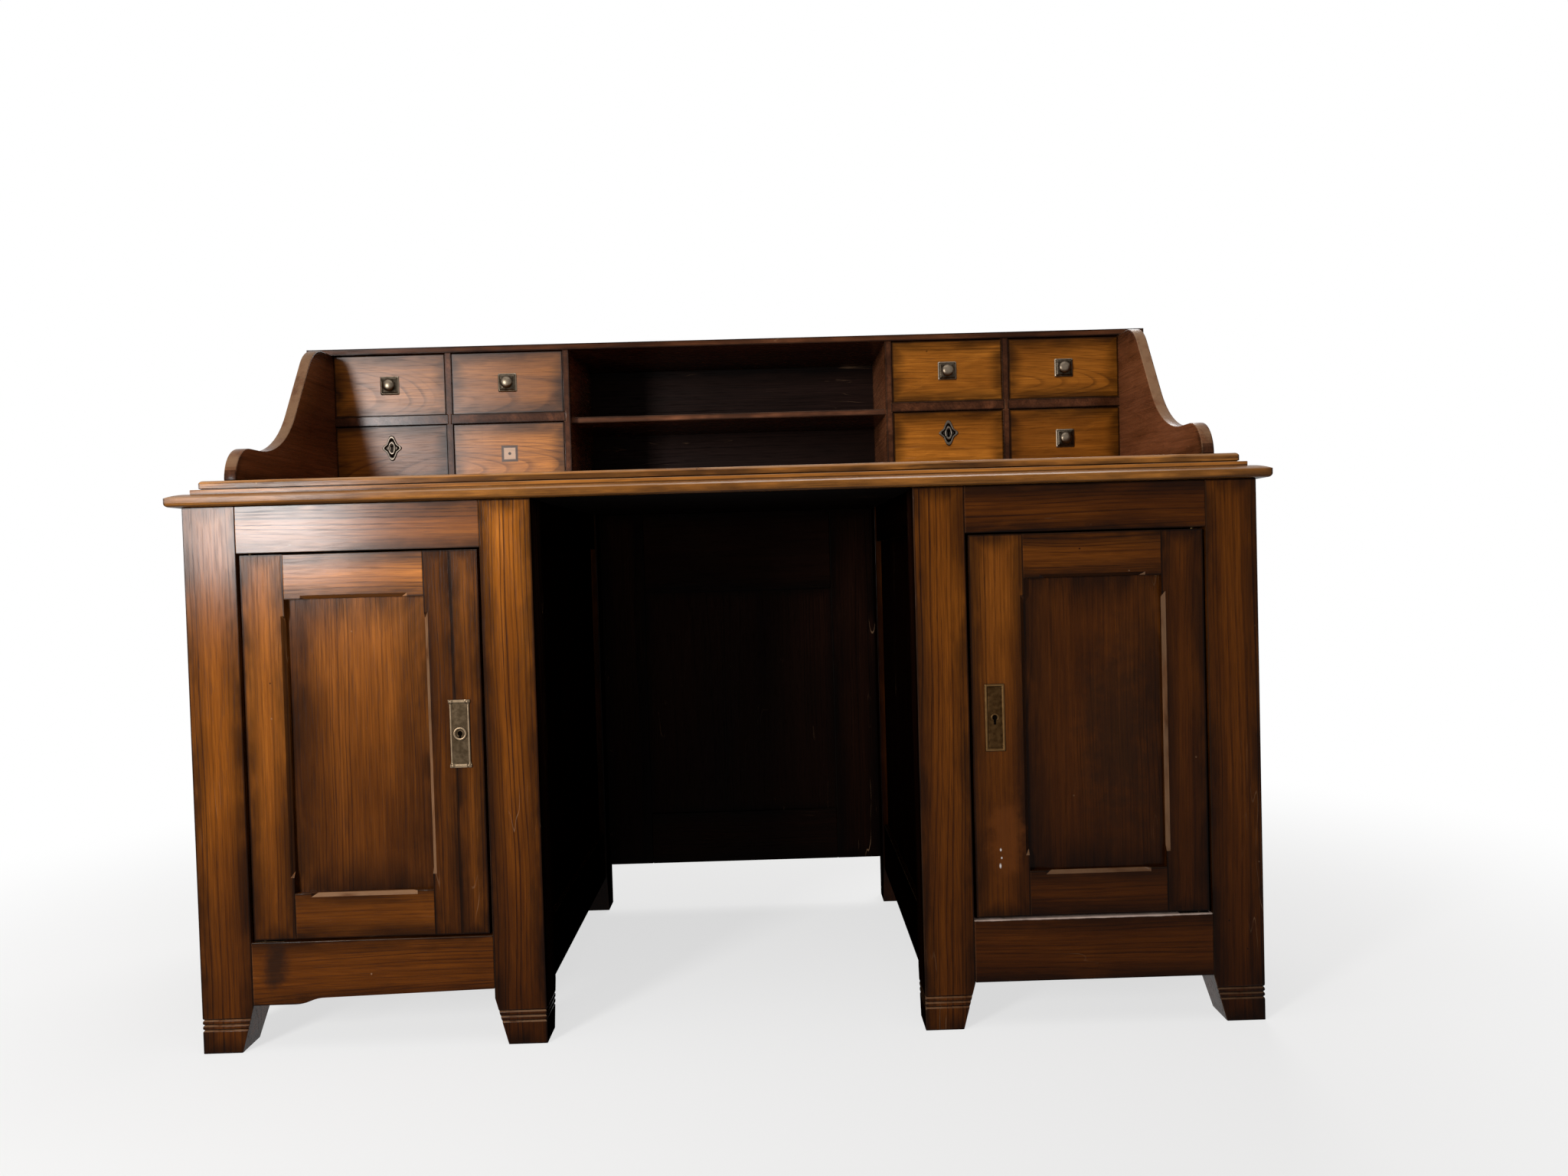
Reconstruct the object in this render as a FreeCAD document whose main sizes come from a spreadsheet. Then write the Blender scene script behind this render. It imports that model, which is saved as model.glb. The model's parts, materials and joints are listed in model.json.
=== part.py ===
import FreeCAD, Part
import math
import os
import re

import Sketcher

# A pedestal writing desk with a gallery of small drawers. Millimetres, +Z up, front towards -Y.
# The origin lies on the floor under the middle of the desk top.

SIZES = {
    # desk top: a lower moulded board with a fillet above its thumb, and an upper board with a round edge
    "top_width": 1482,
    "top_depth": 681,
    "moulding_thickness": 24,
    "moulding_nose": 12,
    "moulding_run": 24,
    "moulding_fillet": 6,
    "board_thickness": 12.5,
    "board_nose": 8.5,
    "board_run": 5,
    "board_setback": 8,
    "side_overhang": 16,
    "front_overhang": 16,
    "rear_overhang": 10,
    # pedestal frames: posts with tapered feet, rails and their tenons
    "carcass_height": 742,
    "pedestal_width": 467,
    "post_width": 70,
    "post_depth": 70,
    "foot_taper": 17,
    "foot_groove_width": 3.6,
    "foot_groove_depth": 1.8,
    "foot_groove_base": 32,
    "foot_groove_pitch": 7,
    "rail_thickness": 24,
    "top_rail_height": 64,
    "bottom_rail_height": 86,
    "bottom_rail_base": 64,
    "tenon_thickness": 10,
    "tenon_length": 30,
    "tenon_setback": 7,
    "tenon_shoulder": 4,
    "side_rail_setback": 3,
    # the left bottom rail's lower edge, cut away from a short full-depth end
    "cutaway_start": 57,
    "cutaway_run": 40,
    "cutaway_rise": 8,
    "cutaway_end_rise": 13,
    # frame panels of the sides and backs, floors and shelves
    "panel_thickness": 8,
    "panel_setback": 8,
    "panel_groove": 8,
    "floor_thickness": 14,
    "shelf_thickness": 14,
    "shelf_rise": 262,
    "shelf_setback": 48,
    "shelf_clearance": 0.6,
    "cleat_width": 18,
    "cleat_height": 16,
    # kneehole back: frame and panel
    "knee_frame_thickness": 20,
    "knee_frame_setback": 4,
    "knee_frame_base": 78,
    "knee_stile_width": 82,
    "knee_top_rail": 150,
    "knee_bottom_rail": 95,
    # doors: stiles, rails, flat panel, stopped chamfers
    "door_thickness": 22,
    "door_recess": 3,
    "door_hinge_gap": 3.5,
    "door_lock_gap": 4.5,
    "door_top_gap": 2.5,
    "door_bottom_gap": 2.5,
    "hinge_stile_width": 57,
    "lock_stile_width": 74,
    "door_top_rail": 61,
    "door_bottom_rail": 62,
    "door_panel_thickness": 8,
    "door_panel_recess": 10,
    "door_groove": 8,
    "door_tenon_length": 32,
    "chamfer_width": 5,
    "chamfer_corner": 22,
    "chamfer_stop_run": 8,
    "edge_strip_width": 37,
    # door pivots: a brass pin on a flange, in a plate let into the rail
    "pivot_inset": 12,
    "pivot_setback": 7,
    "pivot_diameter": 6,
    "pivot_depth": 20,
    "pivot_plate_length": 40,
    "pivot_plate_width": 10,
    "pivot_plate_thickness": 3,
    "pivot_clearance": 0.05,
    "pivot_end_clearance": 0.3,
    # locks: plates, keyholes, cases and bolts
    "lock_plate_width": 27,
    "lock_plate_height": 92,
    "lock_plate_thickness": 2,
    "lock_plate_border": 3,
    "lock_plate_field": 0.8,
    "lock_plate_inset": 17,
    "lock_rise": 274,
    "key_diameter": 4.4,
    "key_slot_width": 2.4,
    "key_slot_height": 8,
    "door_case_width": 48,
    "door_case_height": 70,
    "door_case_depth": 12,
    "door_bolt_length": 24,
    "door_bolt_height": 14,
    "door_bolt_depth": 6,
    "door_bolt_reach": 9,
    "bolt_clearance": 0.1,
    "strike_clearance": 0.6,
    # gallery: ogee sides, top, back, base, dividers and shelves
    "gallery_inset": 62,
    "gallery_height": 234,
    "gallery_setback": 416,
    "gallery_rear_setback": 10,
    "gallery_side_thickness": 17,
    "gallery_top_thickness": 10,
    "gallery_top_overhang": 25,
    "gallery_top_projection": 5,
    "gallery_base_thickness": 12,
    "gallery_back_thickness": 9,
    "gallery_housing": 3,
    "toe_setback": 42,
    "toe_radius": 48,
    "toe_flat": 32,
    "sweep_radius": 160,
    "side_slope": 54.7,
    "shoulder_radius": 69,
    "divider_thickness": 11,
    "centre_width": 534,
    "lower_drawer_opening": 103,
    "drawer_shelf_thickness": 16,
    "centre_shelf_rise": 113,
    "centre_shelf_thickness": 10,
    "centre_shelf_setback": 20,
    # gallery drawers
    "drawer_front_thickness": 16,
    "drawer_side_thickness": 8,
    "drawer_back_thickness": 8,
    "drawer_bottom_thickness": 5,
    "drawer_bottom_rise": 6,
    "drawer_groove": 4,
    "drawer_lap": 10,
    "drawer_rear_gap": 9,
    "drawer_recess": 1,
    "drawer_side_gap": 0.8,
    "drawer_top_gap": 1.6,
    "drawer_floor_gap": 0.3,
    "drawer_side_drop": 5,
    # knobs: a stepped square plate, a neck, a low domed head and a shank through the front
    "knob_plate_width": 31,
    "knob_plate_thickness": 2.2,
    "knob_step_width": 24,
    "knob_step_thickness": 1.8,
    "knob_neck_diameter": 10,
    "knob_neck_length": 3,
    "knob_head_diameter": 20,
    "knob_head_rim": 2.5,
    "knob_head_crown": 3.5,
    "knob_shank_diameter": 5,
    "knob_shank_end": 3,
    # drawer locks: lobed keyhole plates, cases and bolts
    "keyplate_thickness": 1.6,
    "keyplate_diameter": 22,
    "keyplate_lobe_diameter": 11,
    "keyplate_lobe_reach": 11.5,
    "keyplate_rise": 65,
    "drawer_case_width": 46,
    "drawer_case_height": 36,
    "drawer_case_depth": 9,
    "drawer_bolt_width": 15,
    "drawer_bolt_depth": 4,
    "drawer_bolt_height": 18,
    "drawer_bolt_reach": 7,
    # how far cutting shapes run past the wood that they cut
    "overrun": 2,
}
FOOT_GROOVES = 3

doc = FreeCAD.newDocument("WritingDesk")
sheet = doc.addObject("Spreadsheet::Sheet", "Sizes")
for row, (alias, size) in enumerate(SIZES.items(), start=1):
    sheet.set(f"A{row}", alias)
    sheet.set(f"B{row}", str(size))
    sheet.setAlias(f"B{row}", alias)
doc.recompute()

nodes = []
trims = []


def bound(formula):
    """The formula with each size name pointing at its cell of the sheet."""
    return re.sub("[a-z_]+", lambda word: f"Sizes.{word[0]}" if word[0] in SIZES else word[0], formula)


def amount(formula):
    """What the formula comes to with the sheet's present sizes."""
    return float(sheet.evalExpression(bound(formula)))


def between(side, near, far):
    """A stretch across the desk, given by its distances from the middle: side -1 is left, 1 is right."""
    return (near, far) if side > 0 else (f"-({far})", f"-({near})")


def box(name, across, along, up):
    """A straight board between two places on each axis."""
    board = doc.addObject("Part::Box", name)
    for size, axis, (low, high) in (("Length", "x", across), ("Width", "y", along), ("Height", "z", up)):
        board.setExpression(size, bound(f"({high}) - ({low})"))
        board.setExpression(f"Placement.Base.{axis}", bound(low))
    return board


def cylinder(name, diameter, place, length, axis):
    """A round bar from a place, running up (axis z) or back into the desk (axis y)."""
    bar = doc.addObject("Part::Cylinder", name)
    bar.setExpression("Radius", bound(f"({diameter}) / 2"))
    bar.setExpression("Height", bound(length))
    if axis == "y":
        bar.Placement.Rotation = FreeCAD.Rotation(FreeCAD.Vector(1, 0, 0), -90)
    for letter, where in zip("xyz", place):
        bar.setExpression(f"Placement.Base.{letter}", bound(where))
    return bar


def wedge(name, along, front, back):
    """A cutter whose front and back faces are two rectangles, each given across and up."""
    cutter = doc.addObject("Part::Wedge", name)
    for prefix, (across, up) in (("X Z", front), ("X2 Z2", back)):
        for letter, (low, high) in zip(prefix.split(), (across, up)):
            cutter.setExpression(f"{letter}min", bound(low))
            cutter.setExpression(f"{letter}max", bound(high))
    cutter.setExpression("Ymin", bound(along[0]))
    cutter.setExpression("Ymax", bound(along[1]))
    return cutter


def joined(name, things):
    """Several shapes made into one."""
    if len(things) == 1:
        return things[0]
    union = doc.addObject("Part::MultiFuse", name)
    union.Shapes = list(things)
    return union


def cut(name, base, *tools):
    """A piece with every tool taken out of it."""
    piece = doc.addObject("Part::Cut", name)
    piece.Base = base
    piece.Tool = joined(f"{name}_tools", tools)
    return piece


def node(name, *things):
    """Names a finished piece; several like pieces of one node stay separate solids."""
    piece = things[0]
    if len(things) > 1:
        piece = doc.addObject("Part::Compound", name)
        piece.Links = list(things)
    piece.Label = name
    nodes.append(piece)
    return piece


def arc_between(start, finish, radius, turn):
    """The short arc that leaves start to the left (turn 1) or right (turn -1), and its ends in order."""
    run = finish - start
    half = run.Length / 2
    normal = FreeCAD.Vector(-run.y, run.x, 0).normalize() * turn
    centre = start + run / 2 + normal * math.sqrt(max(radius ** 2 - half ** 2, 0))
    circle = Part.Circle(centre, FreeCAD.Vector(0, 0, 1), radius)
    angles = [math.atan2(spot.y - centre.y, spot.x - centre.x) for spot in (start, finish)]
    if turn > 0:
        return Part.ArcOfCircle(circle, angles[0], angles[1]), (1, 2)
    return Part.ArcOfCircle(circle, angles[1], angles[0]), (2, 1)


def drawn(body, name, plane_role, loops):
    """Closed outlines on one of the body's planes. A corner is (across, up), or has the radius and turn
    of the arc that leaves it after those."""
    sketch = body.newObject("Sketcher::SketchObject", name)
    plane = next(feature for feature in body.Origin.OriginFeatures if feature.Role == plane_role)
    sketch.AttachmentSupport = [(plane, "")]
    sketch.MapMode = "FlatFace"
    for corners in loops:
        first = sketch.GeometryCount
        spots = [FreeCAD.Vector(amount(corner[0]), amount(corner[1]), 0) for corner in corners]
        ends = []
        for corner, start, finish in zip(corners, spots, spots[1:] + spots[:1]):
            edge, order = Part.LineSegment(start, finish), (1, 2)
            if len(corner) > 2:
                edge, order = arc_between(start, finish, amount(corner[2]), corner[3])
            sketch.addGeometry(edge, False)
            ends.append(order)
        rules = []
        formulas = []
        for index, corner in enumerate(corners):
            after = (index + 1) % len(corners)
            rules.append(Sketcher.Constraint("Coincident", first + index, ends[index][1],
                                             first + after, ends[after][0]))
            formulas.append(None)
            for kind, formula, value in zip(("DistanceX", "DistanceY"), corner, spots[index]):
                rules.append(Sketcher.Constraint(kind, -1, 1, first + index, ends[index][0], value))
                formulas.append(formula)
            if len(corner) > 2:
                rules.append(Sketcher.Constraint("Radius", first + index, amount(corner[2])))
                formulas.append(corner[2])
        for rule, formula in zip(sketch.addConstraint(rules), formulas):
            if formula is not None:
                sketch.setExpression(f"Constraints[{rule}]", bound(formula))
    return sketch


def body_at(name, place):
    """An empty body whose own origin stands at a place of the desk."""
    body = doc.addObject("PartDesign::Body", name)
    for letter, where in zip("xyz", place):
        body.setExpression(f"Placement.Base.{letter}", bound(where))
    return body


def pad(body, sketch, length, backwards=False, both_ways=False):
    """The outline made solid along its plane's normal, against it, or half each way."""
    solid = body.newObject("PartDesign::Pad", f"{sketch.Name}_pad")
    solid.Profile = sketch
    solid.setExpression("Length", bound(length))
    solid.Reversed = backwards
    solid.SideType = "Symmetric" if both_ways else "One side"
    return solid


def pocket(body, sketch):
    """The outlines cut right through the body, both ways from their plane."""
    before = body.Tip
    hollow = body.newObject("PartDesign::Pocket", f"{sketch.Name}_pocket")
    hollow.Profile = sketch
    hollow.Type = "ThroughAll"
    hollow.SideType = "Symmetric"
    trims.append((before, hollow))
    return hollow


# Places that several pieces share
CARCASS_HALF = "(top_width / 2 - side_overhang)"
KNEE_HALF = f"({CARCASS_HALF} - pedestal_width)"
DESK_FRONT = "(-top_depth / 2)"
POST_FRONT = f"({DESK_FRONT} + front_overhang)"
POST_BACK = f"({POST_FRONT} + post_depth)"
CARCASS_REAR = "(top_depth / 2 - rear_overhang)"
REAR_POST_FRONT = f"({CARCASS_REAR} - post_depth)"
OPENING_NEAR = f"({KNEE_HALF} + post_width)"
OPENING_FAR = f"({CARCASS_HALF} - post_width)"
BOTTOM_RAIL_TOP = "(bottom_rail_base + bottom_rail_height)"
TOP_RAIL_BASE = "(carcass_height - top_rail_height)"
MOULDING_TOP = "(carcass_height + moulding_thickness)"
DESK_SURFACE = f"({MOULDING_TOP} + board_thickness)"
SIDES = (("left", -1), ("right", 1))
RAIL_HEIGHTS = (("bottom", "bottom_rail_base", BOTTOM_RAIL_TOP), ("top", TOP_RAIL_BASE, "carcass_height"))
TENON_TRIM = "(panel_groove + tenon_shoulder)"


def thumb_moulded_board(name, width, depth, front, base, thickness, nose, run, fillet=None):
    """A board with a square nose, a thumb curve above it and perhaps an upright fillet above that, on its
    front and both ends."""
    crest = f"({thickness} - {fillet})" if fillet else thickness
    rise = f"({crest} - {nose})"
    radius = f"(({run}) * ({run}) + {rise} * {rise}) / (2 * {rise})"
    half = f"({width} / 2)"
    body = body_at(name, ("0", front, base))
    section = [("0", "0"), (depth, "0"), (depth, thickness), (run, crest, radius, 1), ("0", nose)]
    if fillet:
        section.insert(3, (run, thickness))
    pad(body, drawn(body, f"{name}_section", "YZ_Plane", [section]), width, both_ways=True)
    ends = []
    for side in (-1, 1):
        inner = f"{side} * ({half} - {run})"
        tip = f"{side} * {half}"
        outside = f"{side} * ({half} + overrun)"
        above = f"{thickness} + overrun"
        ends.append([(inner, crest, radius, -side), (tip, nose), (outside, nose), (outside, above),
                     (inner, above)])
    pocket(body, drawn(body, f"{name}_ends", "XZ_Plane", ends))
    return body


# Desk top: the moulded lower board lies on the pedestals, the upper board on it, in from its fillet
BOARD_INSET = "(moulding_run + board_setback)"
node("top_moulding", thumb_moulded_board(
    "top_moulding", "top_width", "top_depth", DESK_FRONT, "carcass_height",
    "moulding_thickness", "moulding_nose", "moulding_run", "moulding_fillet"))
node("top_board", thumb_moulded_board(
    "top_board", f"(top_width - 2 * {BOARD_INSET})", f"(top_depth - {BOARD_INSET})",
    f"{DESK_FRONT} + {BOARD_INSET}", MOULDING_TOP, "board_thickness", "board_nose", "board_run"))


def rail(name, across, along, up, lengthwise, blank=None):
    """A rail with a tenon at both ends: lengthwise x runs across the desk, y runs from front to back."""
    body = blank or box(f"{name}_body", across, along, up)
    tenon_up = (f"{up[0]} + {TENON_TRIM}", f"{up[1]} - {TENON_TRIM}")
    if lengthwise == "x":
        long_way = (f"{across[0]} - tenon_length", f"{across[1]} + tenon_length")
        thin_way = (f"{along[0]} + tenon_setback", f"{along[0]} + tenon_setback + tenon_thickness")
        tenon = box(f"{name}_tenon", long_way, thin_way, tenon_up)
    else:
        long_way = (f"{along[0]} - tenon_length", f"{along[1]} + tenon_length")
        thin_way = (f"{across[0]} + tenon_setback", f"{across[0]} + tenon_setback + tenon_thickness")
        tenon = box(f"{name}_tenon", thin_way, long_way, tenon_up)
    return joined(name, [body, tenon])


def cut_away_rail(name):
    """The left bottom rail: full depth at its left end, then an S curve up and a slow rise to the right."""
    length = f"({OPENING_FAR} - {OPENING_NEAR})"
    radius = "(cutaway_run * cutaway_run + cutaway_rise * cutaway_rise) / (4 * cutaway_rise)"
    body = body_at(name, (f"-{OPENING_FAR}", POST_FRONT, "bottom_rail_base"))
    outline = [
        ("0", "0"),
        ("cutaway_start", "0", radius, 1),
        ("cutaway_start + cutaway_run / 2", "cutaway_rise / 2", radius, -1),
        ("cutaway_start + cutaway_run", "cutaway_rise"),
        (length, "cutaway_end_rise"),
        (length, "bottom_rail_height"),
        ("0", "bottom_rail_height"),
    ]
    pad(body, drawn(body, f"{name}_outline", "XZ_Plane", [outline]), "rail_thickness", backwards=True)
    return body


def post(name, outside, inward, face, back):
    """A square post. Its foot tapers on the two sides that face into the pedestal: inward is the way in
    across the desk (-1 or 1), back the way in from its outer face (1 for front posts, -1 for rear ones).
    Front posts have cut lines round the outside of the foot."""
    body = body_at(name, (outside, face, "0"))
    outline = [
        ("0", "0"),
        (f"{inward} * (post_width - foot_taper)", "0"),
        (f"{inward} * post_width", "bottom_rail_base"),
        (f"{inward} * post_width", "carcass_height"),
        ("0", "carcass_height"),
    ]
    taper = [
        (f"{back} * (post_depth - foot_taper)", "0"),
        (f"{back} * post_depth", "bottom_rail_base"),
        (f"{back} * (post_depth + overrun)", "bottom_rail_base"),
        (f"{back} * (post_depth + overrun)", "-overrun"),
        (f"{back} * (post_depth - foot_taper)", "-overrun"),
    ]
    lines = []
    if back > 0:
        for count in reversed(range(FOOT_GROOVES)):
            middle = f"foot_groove_base + {count} * foot_groove_pitch"
            high = f"{middle} + foot_groove_width / 2"
            low = f"{middle} - foot_groove_width / 2"
            outline += [("0", high), (f"{inward} * foot_groove_depth", middle), ("0", low)]
            lines.append([("-overrun", high), ("0", high), ("foot_groove_depth", middle), ("0", low),
                          ("-overrun", low)])
    pad(body, drawn(body, f"{name}_front", "XZ_Plane", [outline]), "post_depth", backwards=back > 0)
    pocket(body, drawn(body, f"{name}_side", "YZ_Plane", [taper] + lines))
    return body


# Doors: places that the frames, the locks and the pivots share
HINGE_EDGE = f"({OPENING_FAR} - door_hinge_gap)"
LOCK_EDGE = f"({OPENING_NEAR} + door_lock_gap)"
DOOR_BASE = f"({BOTTOM_RAIL_TOP} + door_bottom_gap)"
DOOR_TOP = f"({TOP_RAIL_BASE} - door_top_gap)"
DOOR_FACE = f"({POST_FRONT} + door_recess)"
DOOR_BACK = f"({DOOR_FACE} + door_thickness)"
PIVOT_PLACE = f"({HINGE_EDGE} - pivot_inset)"
PIVOT_LINE = f"({DOOR_FACE} + pivot_setback)"
LOCK_MIDDLE = f"({DOOR_BASE} + lock_rise)"
KEY_PLACE = f"({LOCK_EDGE} + lock_plate_inset + lock_plate_width / 2)"
BOLT_NEAR = f"({DOOR_BACK} + (door_case_depth - door_bolt_depth) / 2)"


def keyhole(name, across, up, along):
    """A round hole with a slot under it, right through what it is cut from."""
    length = f"({along[1]}) - ({along[0]})"
    ring = cylinder(f"{name}_ring", "key_diameter", (across, along[0], up), length, "y")
    slot = box(f"{name}_slot", (f"{across} - key_slot_width / 2", f"{across} + key_slot_width / 2"), along,
               (f"{up} - key_slot_height", up))
    return joined(name, [ring, slot])


def pivot_plate(name, side, up):
    """The flat plate that a pivot pin stands on or turns in."""
    across = between(side, f"{HINGE_EDGE} - pivot_plate_length", HINGE_EDGE)
    along = (f"{PIVOT_LINE} - pivot_plate_width / 2", f"{PIVOT_LINE} + pivot_plate_width / 2")
    return box(name, across, along, up)


def chamfered_edges(name, side, near, far, base, top):
    """Cutters for the stopped chamfers round a door's panel opening, one for each edge of it."""
    along = (DOOR_FACE, f"{DOOR_FACE} + chamfer_width")
    wide = between(side, f"{near} + chamfer_corner", f"{far} - chamfer_corner")
    wide_deep = between(side, f"{near} + chamfer_corner + chamfer_stop_run",
                        f"{far} - chamfer_corner - chamfer_stop_run")
    tall = (f"{base} + chamfer_corner", f"{top} - chamfer_corner")
    tall_deep = (f"{base} + chamfer_corner + chamfer_stop_run",
                 f"{top} - chamfer_corner - chamfer_stop_run")
    lock = wedge(f"{name}_lock_chamfer", along,
                 (between(side, f"{near} - chamfer_width", f"{near} + overrun"), tall),
                 (between(side, near, f"{near} + overrun"), tall_deep))
    hinge = wedge(f"{name}_hinge_chamfer", along,
                  (between(side, f"{far} - overrun", f"{far} + chamfer_width"), tall),
                  (between(side, f"{far} - overrun", far), tall_deep))
    upper = wedge(f"{name}_upper_chamfer", along,
                  (wide, (f"{top} - overrun", f"{top} + chamfer_width")),
                  (wide_deep, (f"{top} - overrun", top)))
    lower = wedge(f"{name}_lower_chamfer", along,
                  (wide, (f"{base} - chamfer_width", f"{base} + overrun")),
                  (wide_deep, (base, f"{base} + overrun")))
    return lock, hinge, upper, lower


def door(hand, side):
    """One door with its pivots and its lock; gives back the pivot plates that the carcass holds."""
    name = f"{hand}_door"
    near = f"({LOCK_EDGE} + lock_stile_width)"
    far = f"({HINGE_EDGE} - hinge_stile_width)"
    base = f"({DOOR_BASE} + door_bottom_rail)"
    top = f"({DOOR_TOP} - door_top_rail)"
    depth = (DOOR_FACE, DOOR_BACK)
    groove = (f"{DOOR_FACE} + door_panel_recess", f"{DOOR_FACE} + door_panel_recess + door_panel_thickness")
    lock_chamfer, hinge_chamfer, upper_chamfer, lower_chamfer = chamfered_edges(
        name, side, near, far, base, top)

    panel = box(f"{name}_panel", between(side, f"{near} - door_groove", f"{far} + door_groove"), groove,
                (f"{base} - door_groove", f"{top} + door_groove"))
    tenons = between(side, f"{near} - door_tenon_length", f"{far} + door_tenon_length")
    rails = []
    for place, low, high, chamfer in (("upper", top, DOOR_TOP, upper_chamfer),
                                      ("lower", DOOR_BASE, base, lower_chamfer)):
        middle = box(f"{name}_{place}_middle", between(side, near, far), depth, (low, high))
        tenon = box(f"{name}_{place}_tenon", tenons, groove,
                    (f"{low} + door_groove + tenon_shoulder", f"{high} - door_groove - tenon_shoulder"))
        whole = joined(f"{name}_{place}_whole", [middle, tenon])
        rails.append(cut(f"{name}_{place}_rail", whole, panel, chamfer))

    pins = []
    plates = []
    for place, edge, way in (("upper", DOOR_TOP, 1), ("lower", DOOR_BASE, -1)):
        gap = "door_top_gap" if way > 0 else "door_bottom_gap"
        seat = f"({edge} + {way} * {gap})"
        reach = f"({gap} + pivot_plate_thickness - pivot_end_clearance)"
        start = f"{edge} - pivot_depth" if way > 0 else f"{edge} - {reach}"
        spot = (f"{side} * {PIVOT_PLACE}", PIVOT_LINE)
        pin = cylinder(f"{name}_{place}_pin", "pivot_diameter", spot + (start,),
                       f"pivot_depth + {reach}", "z")
        flange_up = (f"{edge} - pivot_plate_thickness", edge) if way > 0 else (
            edge, f"{edge} + pivot_plate_thickness")
        flange = pivot_plate(f"{name}_{place}_flange", side, flange_up)
        pins.append(joined(f"{name}_{place}_pivot", [pin, flange]))
        plate_up = (seat, f"{seat} + pivot_plate_thickness") if way > 0 else (
            f"{seat} - pivot_plate_thickness", seat)
        bore = cylinder(f"{name}_{place}_bore", "(pivot_diameter + 2 * pivot_clearance)",
                        spot + (f"{plate_up[0]} - overrun",), "pivot_plate_thickness + 2 * overrun", "z")
        strip = pivot_plate(f"{name}_{place}_strip", side, plate_up)
        plates.append(cut(f"{name}_{place}_plate", strip, bore))

    lock_front = f"({DOOR_FACE} - lock_plate_thickness)"
    key = keyhole(f"{name}_keyhole", f"{side} * {KEY_PLACE}", LOCK_MIDDLE,
                  (f"{lock_front} - overrun", f"{DOOR_BACK} + door_case_depth + overrun"))
    lock_stile_across = (LOCK_EDGE, near)
    strips = []
    if hand == "left":
        seam = f"({LOCK_EDGE} + edge_strip_width)"
        lock_stile_across = (seam, near)
        edge = box(f"{name}_strip_blank", between(side, LOCK_EDGE, seam), depth, (DOOR_BASE, DOOR_TOP))
        strips.append(cut(f"{name}_edge_strip", edge, key, *rails))
    lock_stile = box(f"{name}_lock_blank", between(side, *lock_stile_across), depth, (DOOR_BASE, DOOR_TOP))
    hinge_stile = box(f"{name}_hinge_blank", between(side, far, HINGE_EDGE), depth, (DOOR_BASE, DOOR_TOP))
    lock_tools = [panel, lock_chamfer, *rails] + ([] if strips else [key])
    node(f"{name}_stiles", cut(f"{name}_hinge_stile", hinge_stile, panel, hinge_chamfer, *rails, *pins),
         cut(f"{name}_lock_stile", lock_stile, *lock_tools), *strips)
    node(f"{name}_rails", *rails)
    node(f"{name}_panel", panel)
    node(f"{name}_pivots", *pins)

    plate_across = (f"{KEY_PLACE} - lock_plate_width / 2", f"{KEY_PLACE} + lock_plate_width / 2")
    plate_up = (f"{LOCK_MIDDLE} - lock_plate_height / 2", f"{LOCK_MIDDLE} + lock_plate_height / 2")
    plate = box(f"{hand}_lock_plate_blank", between(side, *plate_across), (lock_front, DOOR_FACE), plate_up)
    field_across = (f"{plate_across[0]} + lock_plate_border", f"{plate_across[1]} - lock_plate_border")
    field = box(f"{hand}_lock_plate_field", between(side, *field_across),
                (f"{lock_front} - overrun", f"{lock_front} + lock_plate_field"),
                (f"{plate_up[0]} + lock_plate_border", f"{plate_up[1]} - lock_plate_border"))
    node(f"{hand}_lock_plate", cut(f"{hand}_lock_plate", plate, field, key))

    case = box(f"{hand}_lock_case_blank", between(side, LOCK_EDGE, f"{LOCK_EDGE} + door_case_width"),
               (DOOR_BACK, f"{DOOR_BACK} + door_case_depth"),
               (f"{LOCK_MIDDLE} - door_case_height / 2", f"{LOCK_MIDDLE} + door_case_height / 2"))
    slot = bolt_space(f"{hand}_lock_slot", side, f"{LOCK_EDGE} - overrun",
                      f"{LOCK_EDGE} + door_bolt_length + bolt_clearance", "bolt_clearance")
    node(f"{hand}_lock_case", cut(f"{hand}_lock_case", case, slot, key))
    node(f"{hand}_lock_bolt", bolt_space(f"{hand}_lock_bolt", side, LOCK_EDGE,
                                         f"{LOCK_EDGE} + door_bolt_length", "0"))
    return plates


def bolt_space(name, side, near, far, clearance):
    """The door bolt's own shape, or the space that it slides in with a clearance round it."""
    middle = f"({BOLT_NEAR} + door_bolt_depth / 2)"
    along = (f"{middle} - door_bolt_depth / 2 - {clearance}",
             f"{middle} + door_bolt_depth / 2 + {clearance}")
    up = (f"{LOCK_MIDDLE} - door_bolt_height / 2 - {clearance}",
          f"{LOCK_MIDDLE} + door_bolt_height / 2 + {clearance}")
    return box(name, between(side, near, far), along, up)


def side_frame(name, side, near_face, inward):
    """Two rails and a panel between a front and a rear post: near_face is the rails' outer face, as a
    distance from the middle, and inward the way in to the pedestal (1 away from the middle)."""
    def layer(start, thickness):
        ends = (f"{near_face} + {inward} * ({start})", f"{near_face} + {inward} * ({start} + {thickness})")
        return between(side, *(ends if inward > 0 else ends[::-1]))

    along = (POST_BACK, REAR_POST_FRONT)
    panel = box(f"{name}_panel", layer("panel_setback", "panel_thickness"),
                (f"{along[0]} - panel_groove", f"{along[1]} + panel_groove"),
                (f"{BOTTOM_RAIL_TOP} - panel_groove", f"{TOP_RAIL_BASE} + panel_groove"))
    rails = []
    for height, low, high in RAIL_HEIGHTS:
        whole = rail(f"{name}_{height}", layer("0", "rail_thickness"), along, (low, high), "y")
        rails.append(cut(f"{name}_{height}_rail", whole, panel))
    node(f"{name}_panel", panel)
    return rails, panel


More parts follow.
